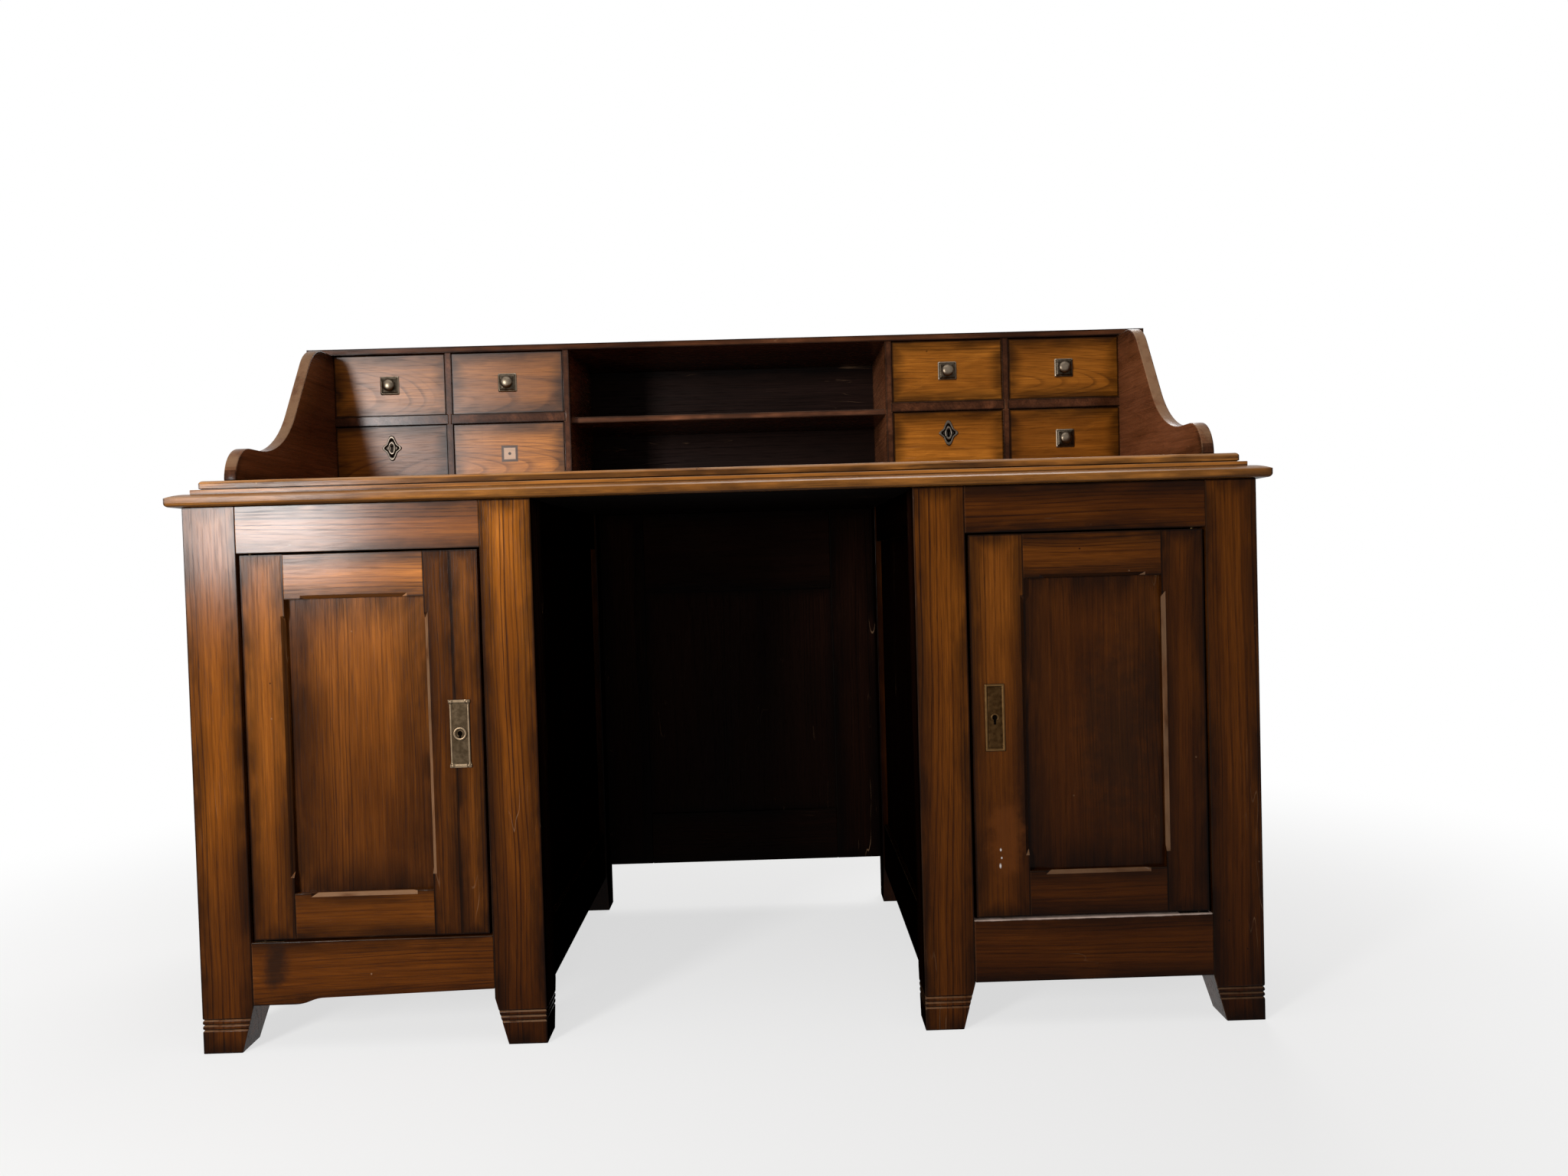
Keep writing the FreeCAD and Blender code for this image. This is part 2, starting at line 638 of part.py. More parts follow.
# Pedestals: each stands on four posts, joined by rails, with panels in grooves on three sides
rear_posts = []
back_rails = []
back_panels = []
floors = []
shelves = []
cleats = []
pivot_plates = []
for hand, side in SIDES:
    pivot_plates += door(hand, side)
    outer_face = f"({CARCASS_HALF} - side_rail_setback)"
    inner_face = f"({KNEE_HALF} + side_rail_setback)"
    outer_rails, outer_panel = side_frame(f"{hand}_outer", side, outer_face, -1)
    inner_rails, inner_panel = side_frame(f"{hand}_inner", side, inner_face, 1)
    opening = between(side, OPENING_NEAR, OPENING_FAR)

    front_depth = (POST_FRONT, f"{POST_FRONT} + rail_thickness")
    front_rails = []
    for height, low, high in RAIL_HEIGHTS:
        cut_away = cut_away_rail("left_bottom_rail_body") if (hand, height) == ("left", "bottom") else None
        whole = rail(f"{hand}_{height}_rail_whole", opening, front_depth, (low, high), "x", cut_away)
        seat_up = (low, f"{low} + pivot_plate_thickness") if height == "top" else (
            f"{high} - pivot_plate_thickness", high)
        seat = pivot_plate(f"{hand}_{height}_plate_seat", side, seat_up)
        front_rails.append(cut(f"{hand}_{height}_rail", whole, seat))

    back_face = f"({CARCASS_REAR} - side_rail_setback)"
    back_depth = (f"{back_face} - rail_thickness", back_face)
    panel_back = f"({back_face} - panel_setback)"
    back_panel = box(f"{hand}_back_panel",
                     between(side, f"{OPENING_NEAR} - panel_groove", f"{OPENING_FAR} + panel_groove"),
                     (f"{panel_back} - panel_thickness", panel_back),
                     (f"{BOTTOM_RAIL_TOP} - panel_groove", f"{TOP_RAIL_BASE} + panel_groove"))
    these_back_rails = []
    for height, low, high in RAIL_HEIGHTS:
        whole = rail(f"{hand}_back_{height}_whole", opening, back_depth, (low, high), "x")
        these_back_rails.append(cut(f"{hand}_back_{height}_rail", whole, back_panel))

    strike = bolt_space(f"{hand}_strike", side, f"{OPENING_NEAR} - door_bolt_reach - strike_clearance",
                        f"{OPENING_NEAR} + overrun", "strike_clearance")
    front_posts = []
    for place, outside, inward, rails, panel in (
            ("outer", f"{side} * {CARCASS_HALF}", -side, outer_rails, outer_panel),
            ("inner", f"{side} * {KNEE_HALF}", side, inner_rails, inner_panel)):
        tools = [*rails, panel, *front_rails]
        if place == "inner":
            tools.append(strike)
        blank = post(f"{hand}_{place}_front_blank", outside, inward, POST_FRONT, 1)
        front_posts.append(cut(f"{hand}_{place}_front_post", blank, *tools))
        blank = post(f"{hand}_{place}_rear_blank", outside, inward, CARCASS_REAR, -1)
        rear_posts.append(cut(f"{hand}_{place}_rear_post", blank, *rails, panel, *these_back_rails,
                              back_panel))

    node(f"{hand}_front_posts", *front_posts)
    node(f"{hand}_front_rails", *front_rails)
    node(f"{hand}_side_rails", *outer_rails, *inner_rails)
    back_rails += these_back_rails
    back_panels.append(back_panel)

    posts = front_posts + rear_posts[-2:]
    rail_near = f"({KNEE_HALF} + side_rail_setback + rail_thickness)"
    rail_far = f"({CARCASS_HALF} - side_rail_setback - rail_thickness)"
    floor = box(f"{hand}_floor_blank", between(side, rail_near, rail_far), (front_depth[1], back_depth[0]),
                (f"{BOTTOM_RAIL_TOP} - floor_thickness", BOTTOM_RAIL_TOP))
    floors.append(cut(f"{hand}_floor", floor, *posts))

    panel_near = f"({KNEE_HALF} + side_rail_setback + panel_setback + panel_thickness)"
    panel_far = f"({CARCASS_HALF} - side_rail_setback - panel_setback - panel_thickness)"
    shelf_base = f"({BOTTOM_RAIL_TOP} + shelf_rise)"
    shelf_ends = (f"{panel_near} + shelf_clearance", f"{panel_far} - shelf_clearance")
    shelf_depth = (f"{POST_FRONT} + shelf_setback", f"{panel_back} - panel_thickness - shelf_clearance")
    shelf = box(f"{hand}_shelf_blank", between(side, *shelf_ends), shelf_depth,
                (shelf_base, f"{shelf_base} + shelf_thickness"))
    notches = []
    for place, post_near, post_far in (("inner", KNEE_HALF, OPENING_NEAR),
                                       ("outer", OPENING_FAR, CARCASS_HALF)):
        notch_across = (f"{post_near} - shelf_clearance", f"{post_far} + shelf_clearance")
        for end, start, finish in (("front", POST_FRONT, POST_BACK),
                                   ("rear", REAR_POST_FRONT, CARCASS_REAR)):
            notches.append(box(f"{hand}_{place}_{end}_notch", between(side, *notch_across),
                               (f"{start} - shelf_clearance", f"{finish} + shelf_clearance"),
                               (f"{shelf_base} - overrun", f"{shelf_base} + shelf_thickness + overrun")))
    shelves.append(cut(f"{hand}_shelf", shelf, *notches))
    for place, near, far in (("inner", panel_near, f"{panel_near} + cleat_width"),
                             ("outer", f"{panel_far} - cleat_width", panel_far)):
        cleats.append(box(f"{hand}_{place}_cleat", between(side, near, far), (POST_BACK, REAR_POST_FRONT),
                          (f"{shelf_base} - cleat_height", shelf_base)))

node("rear_posts", *rear_posts)
node("back_rails", *back_rails)
node("back_panels", *back_panels)
node("pedestal_floors", *floors)
node("pedestal_shelves", *shelves)
node("shelf_cleats", *cleats)
node("pivot_plates", *pivot_plates)


def kneehole_back():
    """The framed panel that closes the kneehole behind, between the two inner rear posts."""
    back = f"({CARCASS_REAR} - knee_frame_setback)"
    along = (f"{back} - knee_frame_thickness", back)
    groove = (f"{along[0]} + tenon_shoulder", f"{along[0]} + tenon_shoulder + panel_thickness")
    inside = f"({KNEE_HALF} - knee_stile_width)"
    base = "(knee_frame_base + knee_bottom_rail)"
    top = "(carcass_height - knee_top_rail)"
    panel = box("kneehole_panel", (f"-({inside} + panel_groove)", f"{inside} + panel_groove"), groove,
                (f"{base} - panel_groove", f"{top} + panel_groove"))
    rails = []
    for place, low, high in (("lower", "knee_frame_base", base), ("upper", top, "carcass_height")):
        middle = box(f"kneehole_{place}_middle", (f"-{inside}", inside), along, (low, high))
        tenon_across = (f"-({inside} + tenon_length)", f"{inside} + tenon_length")
        tenon = box(f"kneehole_{place}_tenon", tenon_across, groove,
                    (f"{low} + {TENON_TRIM}", f"{high} - {TENON_TRIM}"))
        whole = joined(f"kneehole_{place}_whole", [middle, tenon])
        rails.append(cut(f"kneehole_{place}_rail", whole, panel))
    stiles = []
    for hand, side in SIDES:
        blank = box(f"kneehole_{hand}_blank", between(side, inside, KNEE_HALF), along,
                    ("knee_frame_base", "carcass_height"))
        stiles.append(cut(f"kneehole_{hand}_stile", blank, panel, *rails))
    node("kneehole_frame", *stiles, *rails)
    node("kneehole_panel", panel)


kneehole_back()

# Gallery: places that its boards and drawers share
GALLERY_HALF = "(top_width / 2 - gallery_inset)"
GALLERY_INSIDE = f"({GALLERY_HALF} - gallery_side_thickness)"
GALLERY_FRONT = f"({DESK_FRONT} + gallery_setback)"
GALLERY_REAR = "(top_depth / 2 - gallery_rear_setback)"
GALLERY_CEILING = f"({DESK_SURFACE} + gallery_height)"
BACK_FACE = f"({GALLERY_REAR} - gallery_back_thickness)"
BASE_TOP = f"({DESK_SURFACE} + gallery_base_thickness)"
LOWER_TOP = f"({BASE_TOP} + lower_drawer_opening)"
UPPER_BASE = f"({LOWER_TOP} + drawer_shelf_thickness)"
CENTRE_HALF = "(centre_width / 2)"
DRAWER_OPENING = f"(({GALLERY_INSIDE} - {CENTRE_HALF} - 2 * divider_thickness) / 2)"
INNER_NEAR = f"({CENTRE_HALF} + divider_thickness)"
INNER_FAR = f"({INNER_NEAR} + {DRAWER_OPENING})"
OUTER_NEAR = f"({INNER_FAR} + divider_thickness)"
DRAWER_FACE = f"({GALLERY_FRONT} + drawer_recess)"
DRAWER_BACK = f"({DRAWER_FACE} + drawer_front_thickness)"
COLUMNS = (("inner", INNER_NEAR, INNER_FAR), ("outer", OUTER_NEAR, GALLERY_INSIDE))
ROWS = (("lower", BASE_TOP, LOWER_TOP), ("upper", UPPER_BASE, GALLERY_CEILING))


def ogee_side(name, side):
    """A gallery side: a round toe, a level stretch, a hollow sweep, a straight slope, a round shoulder."""
    toe = f"({DESK_FRONT} + toe_setback)"
    body = body_at(name, (f"{side} * {GALLERY_HALF}", toe, DESK_SURFACE))
    level_end = "(toe_radius + toe_flat)"
    sweep_end = f"({level_end} + sweep_radius * sin(side_slope))"
    sweep_top = "(toe_radius + sweep_radius * (1 - cos(side_slope)))"
    slope_top = "(gallery_height - shoulder_radius * (1 - cos(side_slope)))"
    slope_end = f"({sweep_end} + ({slope_top} - {sweep_top}) / tan(side_slope))"
    rear = f"({GALLERY_REAR} - {toe})"
    outline = [
        ("0", "0", "toe_radius", -1),
        ("toe_radius", "toe_radius"),
        (level_end, "toe_radius", "sweep_radius", 1),
        (sweep_end, sweep_top),
        (slope_end, slope_top, "shoulder_radius", -1),
        (f"{slope_end} + shoulder_radius * sin(side_slope)", "gallery_height"),
        (rear, "gallery_height"),
        (rear, "0"),
    ]
    sketch = drawn(body, f"{name}_outline", "YZ_Plane", [outline])
    pad(body, sketch, "gallery_side_thickness", backwards=side > 0)
    return body


def keyed_drawer(hand, column, row):
    """Two lower drawers have a lock: the left outer one and the right inner one."""
    return row == "lower" and (hand, column) in (("left", "outer"), ("right", "inner"))


def bare_drawer(hand, column, row):
    """The lower left inner drawer has lost its knob."""
    return (hand, column, row) == ("left", "inner", "lower")


def drawer_bolt_space(name, across, bottom, top, clearance):
    """The drawer bolt's own shape, or the space that it slides in with a clearance round it."""
    bolt_near = f"({DRAWER_BACK} + (drawer_case_depth - drawer_bolt_depth) / 2)"
    wide = (f"{across} - drawer_bolt_width / 2 - {clearance}",
            f"{across} + drawer_bolt_width / 2 + {clearance}")
    along = (f"{bolt_near} - {clearance}", f"{bolt_near} + drawer_bolt_depth + {clearance}")
    return box(name, wide, along, (bottom, top))


def knob(name, across, up):
    """A stepped square plate with a neck and a low domed head in front, and a shank through the wood."""
    body = body_at(name, (across, DRAWER_FACE, up))
    step_reach = "(knob_plate_thickness + knob_step_thickness)"
    for layer, width, reach in (("plate", "knob_plate_width", "knob_plate_thickness"),
                                ("step", "knob_step_width", step_reach)):
        half = f"{width} / 2"
        square = [(f"-{half}", f"-{half}"), (half, f"-{half}"), (half, half), (f"-{half}", half)]
        pad(body, drawn(body, f"{name}_{layer}", "XZ_Plane", [square]), reach)
    neck = f"({step_reach} + knob_neck_length)"
    crown = f"({neck} + knob_head_rim + knob_head_crown)"
    head = "(knob_head_diameter / 2)"
    crown_radius = f"({head} * {head} + knob_head_crown * knob_head_crown) / (2 * knob_head_crown)"
    shank_end = "(drawer_front_thickness + knob_shank_end)"
    profile = [
        ("0", shank_end),
        ("0", f"-{crown}", crown_radius, 1),
        (head, f"-({neck} + knob_head_rim)"),
        (head, f"-{neck}"),
        ("knob_neck_diameter / 2", f"-{neck}"),
        ("knob_neck_diameter / 2", "0"),
        ("knob_shank_diameter / 2", "0"),
        ("knob_shank_diameter / 2", shank_end),
    ]
    sketch = drawn(body, f"{name}_profile", "XY_Plane", [profile])
    turned = body.newObject("PartDesign::Revolution", f"{name}_turned")
    turned.Profile = sketch
    turned.ReferenceAxis = (sketch, ["V_Axis"])
    turned.Angle = 360
    return node(name, body)


def drawer_lock(name, across, low, front_top):
    """A lobed keyhole plate, the lock case behind the drawer front and its bolt."""
    key_up = f"({low} + keyplate_rise)"
    plate_front = f"({DRAWER_FACE} - keyplate_thickness)"
    case_back = f"({DRAWER_BACK} + drawer_case_depth)"
    key = keyhole(f"{name}_keyhole", across, key_up, (f"{plate_front} - overrun", f"{case_back} + overrun"))
    discs = [cylinder(f"{name}_disc", "keyplate_diameter", (across, plate_front, key_up),
                      "keyplate_thickness", "y")]
    for spot, right, rise in (("right", 1, 0), ("left", -1, 0), ("top", 0, 1), ("bottom", 0, -1)):
        lobe_place = (f"{across} + {right} * keyplate_lobe_reach", plate_front,
                      f"{key_up} + {rise} * keyplate_lobe_reach")
        discs.append(cylinder(f"{name}_{spot}_lobe", "keyplate_lobe_diameter", lobe_place,
                              "keyplate_thickness", "y"))
    plate = cut(f"{name}_keyplate", joined(f"{name}_keyplate_blank", discs), key)
    case_across = (f"{across} - drawer_case_width / 2", f"{across} + drawer_case_width / 2")
    case = box(f"{name}_case_blank", case_across, (DRAWER_BACK, case_back),
               (f"{front_top} - drawer_case_height", front_top))
    bolt_base = f"({front_top} - drawer_bolt_height)"
    slot = drawer_bolt_space(f"{name}_slot", across, f"{bolt_base} - bolt_clearance",
                             f"{front_top} + overrun", "bolt_clearance")
    node(f"{name}_lock", plate, cut(f"{name}_case", case, slot, key))
    node(f"{name}_bolt", drawer_bolt_space(f"{name}_bolt", across, bolt_base, front_top, "0"))
    return key


def drawer(hand, side, column, near, far, row, low, high):
    """One drawer: a lapped front, two sides, a back, and a bottom in grooves, with its knob or lock."""
    name = f"{hand}_{row}_{column}_drawer"
    base = f"({low} + drawer_floor_gap)"
    left = f"({near} + drawer_side_gap)"
    right = f"({far} - drawer_side_gap)"
    rear = f"({BACK_FACE} - drawer_rear_gap)"
    front_top = f"({high} - drawer_top_gap)"
    side_top = f"({front_top} - drawer_side_drop)"
    bottom_base = f"({base} + drawer_bottom_rise)"
    bottom_top = f"({bottom_base} + drawer_bottom_thickness)"
    inside = (f"({left} + drawer_side_thickness)", f"({right} - drawer_side_thickness)")

    bottom_across = (f"{inside[0]} - drawer_groove", f"{inside[1]} + drawer_groove")
    bottom = box(f"{name}_bottom", between(side, *bottom_across), (f"{DRAWER_BACK} - drawer_groove", rear),
                 (bottom_base, bottom_top))
    walls = []
    for place, wall_near, wall_far in (("near", left, inside[0]), ("far", inside[1], right)):
        blank = box(f"{name}_{place}_blank", between(side, wall_near, wall_far),
                    (f"{DRAWER_BACK} - drawer_lap", rear), (base, side_top))
        walls.append(cut(f"{name}_{place}_side", blank, bottom))
    back = box(f"{name}_back", between(side, *inside), (f"{rear} - drawer_back_thickness", rear),
               (bottom_top, side_top))
    middle = f"({side} * ({near} + {far}) / 2)"
    tools = [*walls, bottom]
    if keyed_drawer(hand, column, row):
        tools.append(drawer_lock(f"{hand}_drawer", middle, low, front_top))
    elif not bare_drawer(hand, column, row):
        tools.append(knob(f"{hand}_{row}_{column}_knob", middle, f"({base} + {front_top}) / 2"))
    blank = box(f"{name}_front_blank", between(side, left, right), (DRAWER_FACE, DRAWER_BACK),
                (base, front_top))
    node(name, cut(f"{name}_front", blank, *tools), *walls, back, bottom)


def gallery():
    """The gallery's boards: each divider, shelf and base end is let into the board that it meets."""
    depth = (GALLERY_FRONT, BACK_FACE)
    housed = (f"-({GALLERY_INSIDE} + gallery_housing)", f"{GALLERY_INSIDE} + gallery_housing")
    back = box("gallery_back", housed, (BACK_FACE, GALLERY_REAR), (DESK_SURFACE, GALLERY_CEILING))
    base_blank = box("gallery_base_blank", housed, depth, (DESK_SURFACE, BASE_TOP))
    shelf_base = f"({DESK_SURFACE} + centre_shelf_rise)"
    shelf_across = (f"-({CENTRE_HALF} + gallery_housing)", f"{CENTRE_HALF} + gallery_housing")
    centre_shelf = box("gallery_shelf", shelf_across, (f"{GALLERY_FRONT} + centre_shelf_setback", BACK_FACE),
                       (shelf_base, f"{shelf_base} + centre_shelf_thickness"))
    divider_up = (f"{BASE_TOP} - gallery_housing", f"{GALLERY_CEILING} + gallery_housing")
    dividers = []
    drawer_shelves = []
    sides = []
    for hand, side in SIDES:
        shelves_here = []
        for column, near, far in COLUMNS:
            board = box(f"{hand}_{column}_shelf_blank",
                        between(side, f"{near} - gallery_housing", f"{far} + gallery_housing"),
                        depth, (LOWER_TOP, UPPER_BASE))
            if keyed_drawer(hand, column, "lower"):
                middle = f"({side} * ({near} + {far}) / 2)"
                strike = drawer_bolt_space(f"{hand}_drawer_strike", middle, f"{LOWER_TOP} - overrun",
                                           f"{LOWER_TOP} + drawer_bolt_reach + strike_clearance",
                                           "strike_clearance")
                board = cut(f"{hand}_{column}_shelf_board", board, strike)
            shelves_here.append(board)
        for place, near, far, tools in (("inner", CENTRE_HALF, INNER_NEAR, [shelves_here[0], centre_shelf]),
                                        ("middle", INNER_FAR, OUTER_NEAR, shelves_here)):
            blank = box(f"{hand}_{place}_divider_blank", between(side, near, far), depth, divider_up)
            dividers.append(cut(f"{hand}_{place}_divider", blank, *tools))
        sides.append(cut(f"gallery_{hand}_side", ogee_side(f"gallery_{hand}_board", side), back, base_blank,
                         shelves_here[1]))
        drawer_shelves += shelves_here
    half = f"({GALLERY_HALF} + gallery_top_overhang)"
    top_blank = box("gallery_top_blank", (f"-{half}", half),
                    (f"{GALLERY_FRONT} - gallery_top_projection", GALLERY_REAR),
                    (GALLERY_CEILING, f"{GALLERY_CEILING} + gallery_top_thickness"))
    node("gallery_left_side", sides[0])
    node("gallery_right_side", sides[1])
    node("gallery_top", cut("gallery_top", top_blank, *dividers))
    node("gallery_base", cut("gallery_base", base_blank, *dividers))
    node("gallery_back", back)
    node("gallery_shelf", centre_shelf)
    node("gallery_dividers", *dividers)
    node("gallery_drawer_shelves", *drawer_shelves)


gallery()
for hand, side in SIDES:
    for column, near, far in COLUMNS:
        for row, low, high in ROWS:
            drawer(hand, side, column, near, far, row, low, high)

# Every object has to be sound, and every cut has to take wood away, before anything is written
doc.recompute()
for thing in doc.Objects:
    if "Invalid" in thing.State or "Error" in thing.State:
        raise RuntimeError(f"{thing.Label} did not build: {thing.State}")
for before, after in trims:
    if after.Shape.Volume >= before.Shape.Volume:
        raise RuntimeError(f"{after.Label} cuts nothing")
for piece in nodes:
    if piece.Shape.isNull() or not piece.Shape.isValid():
        raise RuntimeError(f"{piece.Label} has no sound shape")
os.makedirs("parts", exist_ok=True)
for piece in nodes:
    piece.Shape.exportStep(f"parts/{piece.Label}.step")
    print(piece.Label, len(piece.Shape.Solids))
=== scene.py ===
import json
import math

import bmesh
import bpy
import numpy as np
from mathutils import Matrix, Vector

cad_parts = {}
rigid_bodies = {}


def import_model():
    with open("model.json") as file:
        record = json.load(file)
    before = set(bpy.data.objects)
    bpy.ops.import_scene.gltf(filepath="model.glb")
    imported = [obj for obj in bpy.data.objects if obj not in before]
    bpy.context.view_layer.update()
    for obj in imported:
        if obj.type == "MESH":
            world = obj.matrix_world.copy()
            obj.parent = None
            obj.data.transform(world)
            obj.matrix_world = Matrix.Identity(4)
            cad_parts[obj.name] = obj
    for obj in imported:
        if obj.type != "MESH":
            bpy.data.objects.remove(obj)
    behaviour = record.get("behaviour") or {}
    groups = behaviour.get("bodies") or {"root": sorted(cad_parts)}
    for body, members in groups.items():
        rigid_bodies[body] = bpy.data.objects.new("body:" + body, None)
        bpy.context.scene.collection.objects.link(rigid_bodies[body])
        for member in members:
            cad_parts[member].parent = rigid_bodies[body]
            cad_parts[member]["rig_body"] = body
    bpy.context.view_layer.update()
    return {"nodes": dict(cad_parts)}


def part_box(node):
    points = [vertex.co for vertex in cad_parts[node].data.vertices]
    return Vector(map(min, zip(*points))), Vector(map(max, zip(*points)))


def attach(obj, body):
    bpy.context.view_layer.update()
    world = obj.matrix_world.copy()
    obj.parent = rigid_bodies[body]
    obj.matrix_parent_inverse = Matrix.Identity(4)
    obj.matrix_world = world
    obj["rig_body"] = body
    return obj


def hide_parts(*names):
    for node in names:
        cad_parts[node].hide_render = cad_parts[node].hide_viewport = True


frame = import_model()

# Posts: eight square legs of stained elm that run from the floor to the top. The feet taper inwards,
# the front ones carry three cut lines, and every rail is tenoned into them.
POST_ARRIS = 0.0016
POST_PALE = (0.32, 0.098, 0.010)
POST_DARK = (0.040, 0.010, 0.002)
# Depth of colour per board, with polish kept and painted shade lower down; the left inner front post gets that
# painted shade.
POST_STAIN_AND_SHADE = {"left_front_posts": ((0.72, 0.31), (1.00, 0.0, 0.54)), "right_front_posts": (0.68, 0.335),
               "rear_posts": (0.60, 0.25, 0.25, 0.55)}
# Near-black wood for faces that look into the kneehole: painted shade.
KNEEHOLE_SHADE_PALE = (0.018, 0.006, 0.003)
KNEEHOLE_SHADE_DARK = (0.006, 0.002, 0.001)
KNEEHOLE_REACH = 0.30
KNEEHOLE_TURN = 0.8
WELD_STEP = 1e-6
SHARP_EDGE = math.radians(35)
SMOOTH_EDGE = math.radians(32)
FLAT_ANGLE = math.radians(0.6)
FLAT_AREA = 2.5e-4
EASE_STEPS = 2
EASE_FULLNESS = 0.6
# How far faces that look up or left, and down, get painted highlight and shade.
LIT_GAIN = 1.6
UNDER_TURN = -0.6
SEED_WAYS = (12.99, 78.23, 37.72)
SEED_GAIN = 4375.85


def gathered(items, what, ways=1, kind=np.float32):
    """One property of all of a mesh's items as an array, with a row for each item where it has several ways."""
    values = np.empty(len(items) * ways, kind)
    items.foreach_get(what, values)
    return values.reshape(-1, ways) if ways > 1 else values


def placed(name, data):
    """A new object of the scene, at its origin."""
    piece = bpy.data.objects.new(name, data)
    bpy.context.scene.collection.objects.link(piece)
    return piece


def solid_boards(node):
    """The solids of a CAD node as corners and triangles, welded within each solid only. The node's loose
    triangles come solid by solid, so one is complete where each edge so far was met an even number of times."""
    source = frame["nodes"][node].data
    source.calc_loop_triangles()
    corners = gathered(source.loop_triangles, "vertices", 3, np.int32)
    spots = gathered(source.vertices, "co", 3)[corners.ravel()]
    places = np.round(spots / WELD_STEP).astype(np.int64)
    triangles = np.unique(places, axis=0, return_inverse=True)[1].reshape(-1, 3)
    edges = np.sort(np.stack([triangles, np.roll(triangles, -1, axis=1)], axis=-1), axis=-1).reshape(-1, 2)
    edge_ids = np.unique(edges, axis=0, return_inverse=True)[1].ravel()
    order = np.argsort(edge_ids, kind="stable")
    counting = np.arange(len(order))
    fresh = np.concatenate([[True], np.diff(edge_ids[order]) != 0])
    meeting = np.empty(len(order), int)
    meeting[order] = counting - np.maximum.accumulate(np.where(fresh, counting, 0))
    still_open = np.cumsum(np.where(meeting % 2, -1, 1)).reshape(-1, 3)[:, 2]
    solid = np.concatenate([[0], np.cumsum(still_open == 0)[:-1]])
    keys = np.column_stack([places, np.repeat(solid, 3)])
    first, welded = np.unique(keys, axis=0, return_index=True, return_inverse=True)[1:]
    welded = welded.reshape(-1, 3)
    whole = (welded[:, 0] != welded[:, 1]) & (welded[:, 1] != welded[:, 2]) & (welded[:, 2] != welded[:, 0])
    return spots[first], welded[whole]


def eased_boards(name, node, arris):
    """A node's boards as a new mesh with every outer edge eased: facets in one plane are joined into whole
    faces, then each convex edge sharper than SHARP_EDGE is rounded off by the arris."""
    spots, triangles = solid_boards(node)
    mesh = bpy.data.meshes.new(name)
    mesh.from_pydata(spots.tolist(), [], triangles.tolist())
    shape = bmesh.new()
    shape.from_mesh(mesh)
    bmesh.ops.dissolve_limit(shape, angle_limit=FLAT_ANGLE, verts=shape.verts, edges=shape.edges)
    sharp = [edge for edge in shape.edges
             if len(edge.link_faces) == 2 and edge.is_convex and edge.calc_face_angle() > SHARP_EDGE]
    bmesh.ops.bevel(shape, geom=sharp, offset=arris, segments=EASE_STEPS, profile=EASE_FULLNESS,
                    affect="EDGES", clamp_overlap=True)
    shape.to_mesh(mesh)
    shape.free()
    return mesh


def mark_boards(mesh, stain=(1.0,)):
    """Writes what the wood finish reads. Vertices that edges join make one board: spot is the place from the
    board's middle, with its longest way as x and its thinnest as z, half is half the board's size in that order,
    seed is a number of its own, and the board's depth of colour is given from left to right and then upwards,
    alone or with the polish it has kept above and how much painted shade it gets below; low depths for boards in
    the kneehole are painted shade too. Facing is how squarely a face looks each of those ways, lit how far it looks
    up or to the left, which sets painted highlight and shade, under whether it looks down, for painted shade
    beneath. Gives back each face's board and the boards' boxes."""
    spots = gathered(mesh.vertices, "co", 3)
    one, other = gathered(mesh.edges, "vertices", 2, np.int32).T
    label = np.arange(len(spots))
    settled = False
    while not settled:
        lowest = np.minimum(label[one], label[other])
        spread = label.copy()
        np.minimum.at(spread, one, lowest)
        np.minimum.at(spread, other, lowest)
        spread = spread[spread]
        settled = bool((spread == label).all())
        label = spread
    board = np.unique(label, return_inverse=True)[1]
    low = np.full((board.max() + 1, 3), np.inf)
    high = -low
    np.minimum.at(low, board, spots)
    np.maximum.at(high, board, spots)
    half = (high - low) / 2
    middle = (high + low) / 2
    ways = np.argsort(-half, axis=1, kind="stable")
    seed = np.modf(np.abs(np.sin(middle @ np.array(SEED_WAYS)) * SEED_GAIN))[0]
    given = [(*np.atleast_1d(tone), 0.0, 0.0)[:3] for tone in stain]
    tones = np.empty_like(middle)
    tones[np.lexsort((middle[:, 2], middle[:, 0].round(2)))] = np.resize(given, middle.shape)
    starts = gathered(mesh.polygons, "loop_start", kind=np.int32)
    face_board = board[gathered(mesh.loops, "vertex_index", kind=np.int32)[starts]]
    normals = gathered(mesh.polygons, "normal", 3)
    # Which way a face looks: painted highlight and shade on arrises, painted shade on faces that look down.
    lit = np.clip(LIT_GAIN * (normals[:, 2] - normals[:, 0]), 0, 1)
    under = normals[:, 2] < UNDER_TURN
    vectors = {("spot", "POINT"): np.take_along_axis(spots - middle[board], ways[board], axis=1),
               ("half", "POINT"): np.take_along_axis(half, ways, axis=1)[board],
               ("stain", "POINT"): tones[board],
               ("facing", "FACE"): np.take_along_axis(np.abs(normals), ways[face_board], axis=1)}
    numbers = {("seed", "POINT"): seed[board], ("lit", "FACE"): lit, ("under", "FACE"): under}
    for (word, domain), values in vectors.items():
        mesh.attributes.new(word, "FLOAT_VECTOR", domain).data.foreach_set(
            "vector", values.astype(np.float32).ravel())
    for (word, domain), values in numbers.items():
        mesh.attributes.new(word, "FLOAT", domain).data.foreach_set("value", values.astype(np.float32))
    mesh.shade_smooth()
    mesh.set_sharp_from_angle(angle=SMOOTH_EDGE)
    mesh.polygons.foreach_set("use_smooth", gathered(mesh.polygons, "area") < FLAT_AREA)
    return face_board, low, high


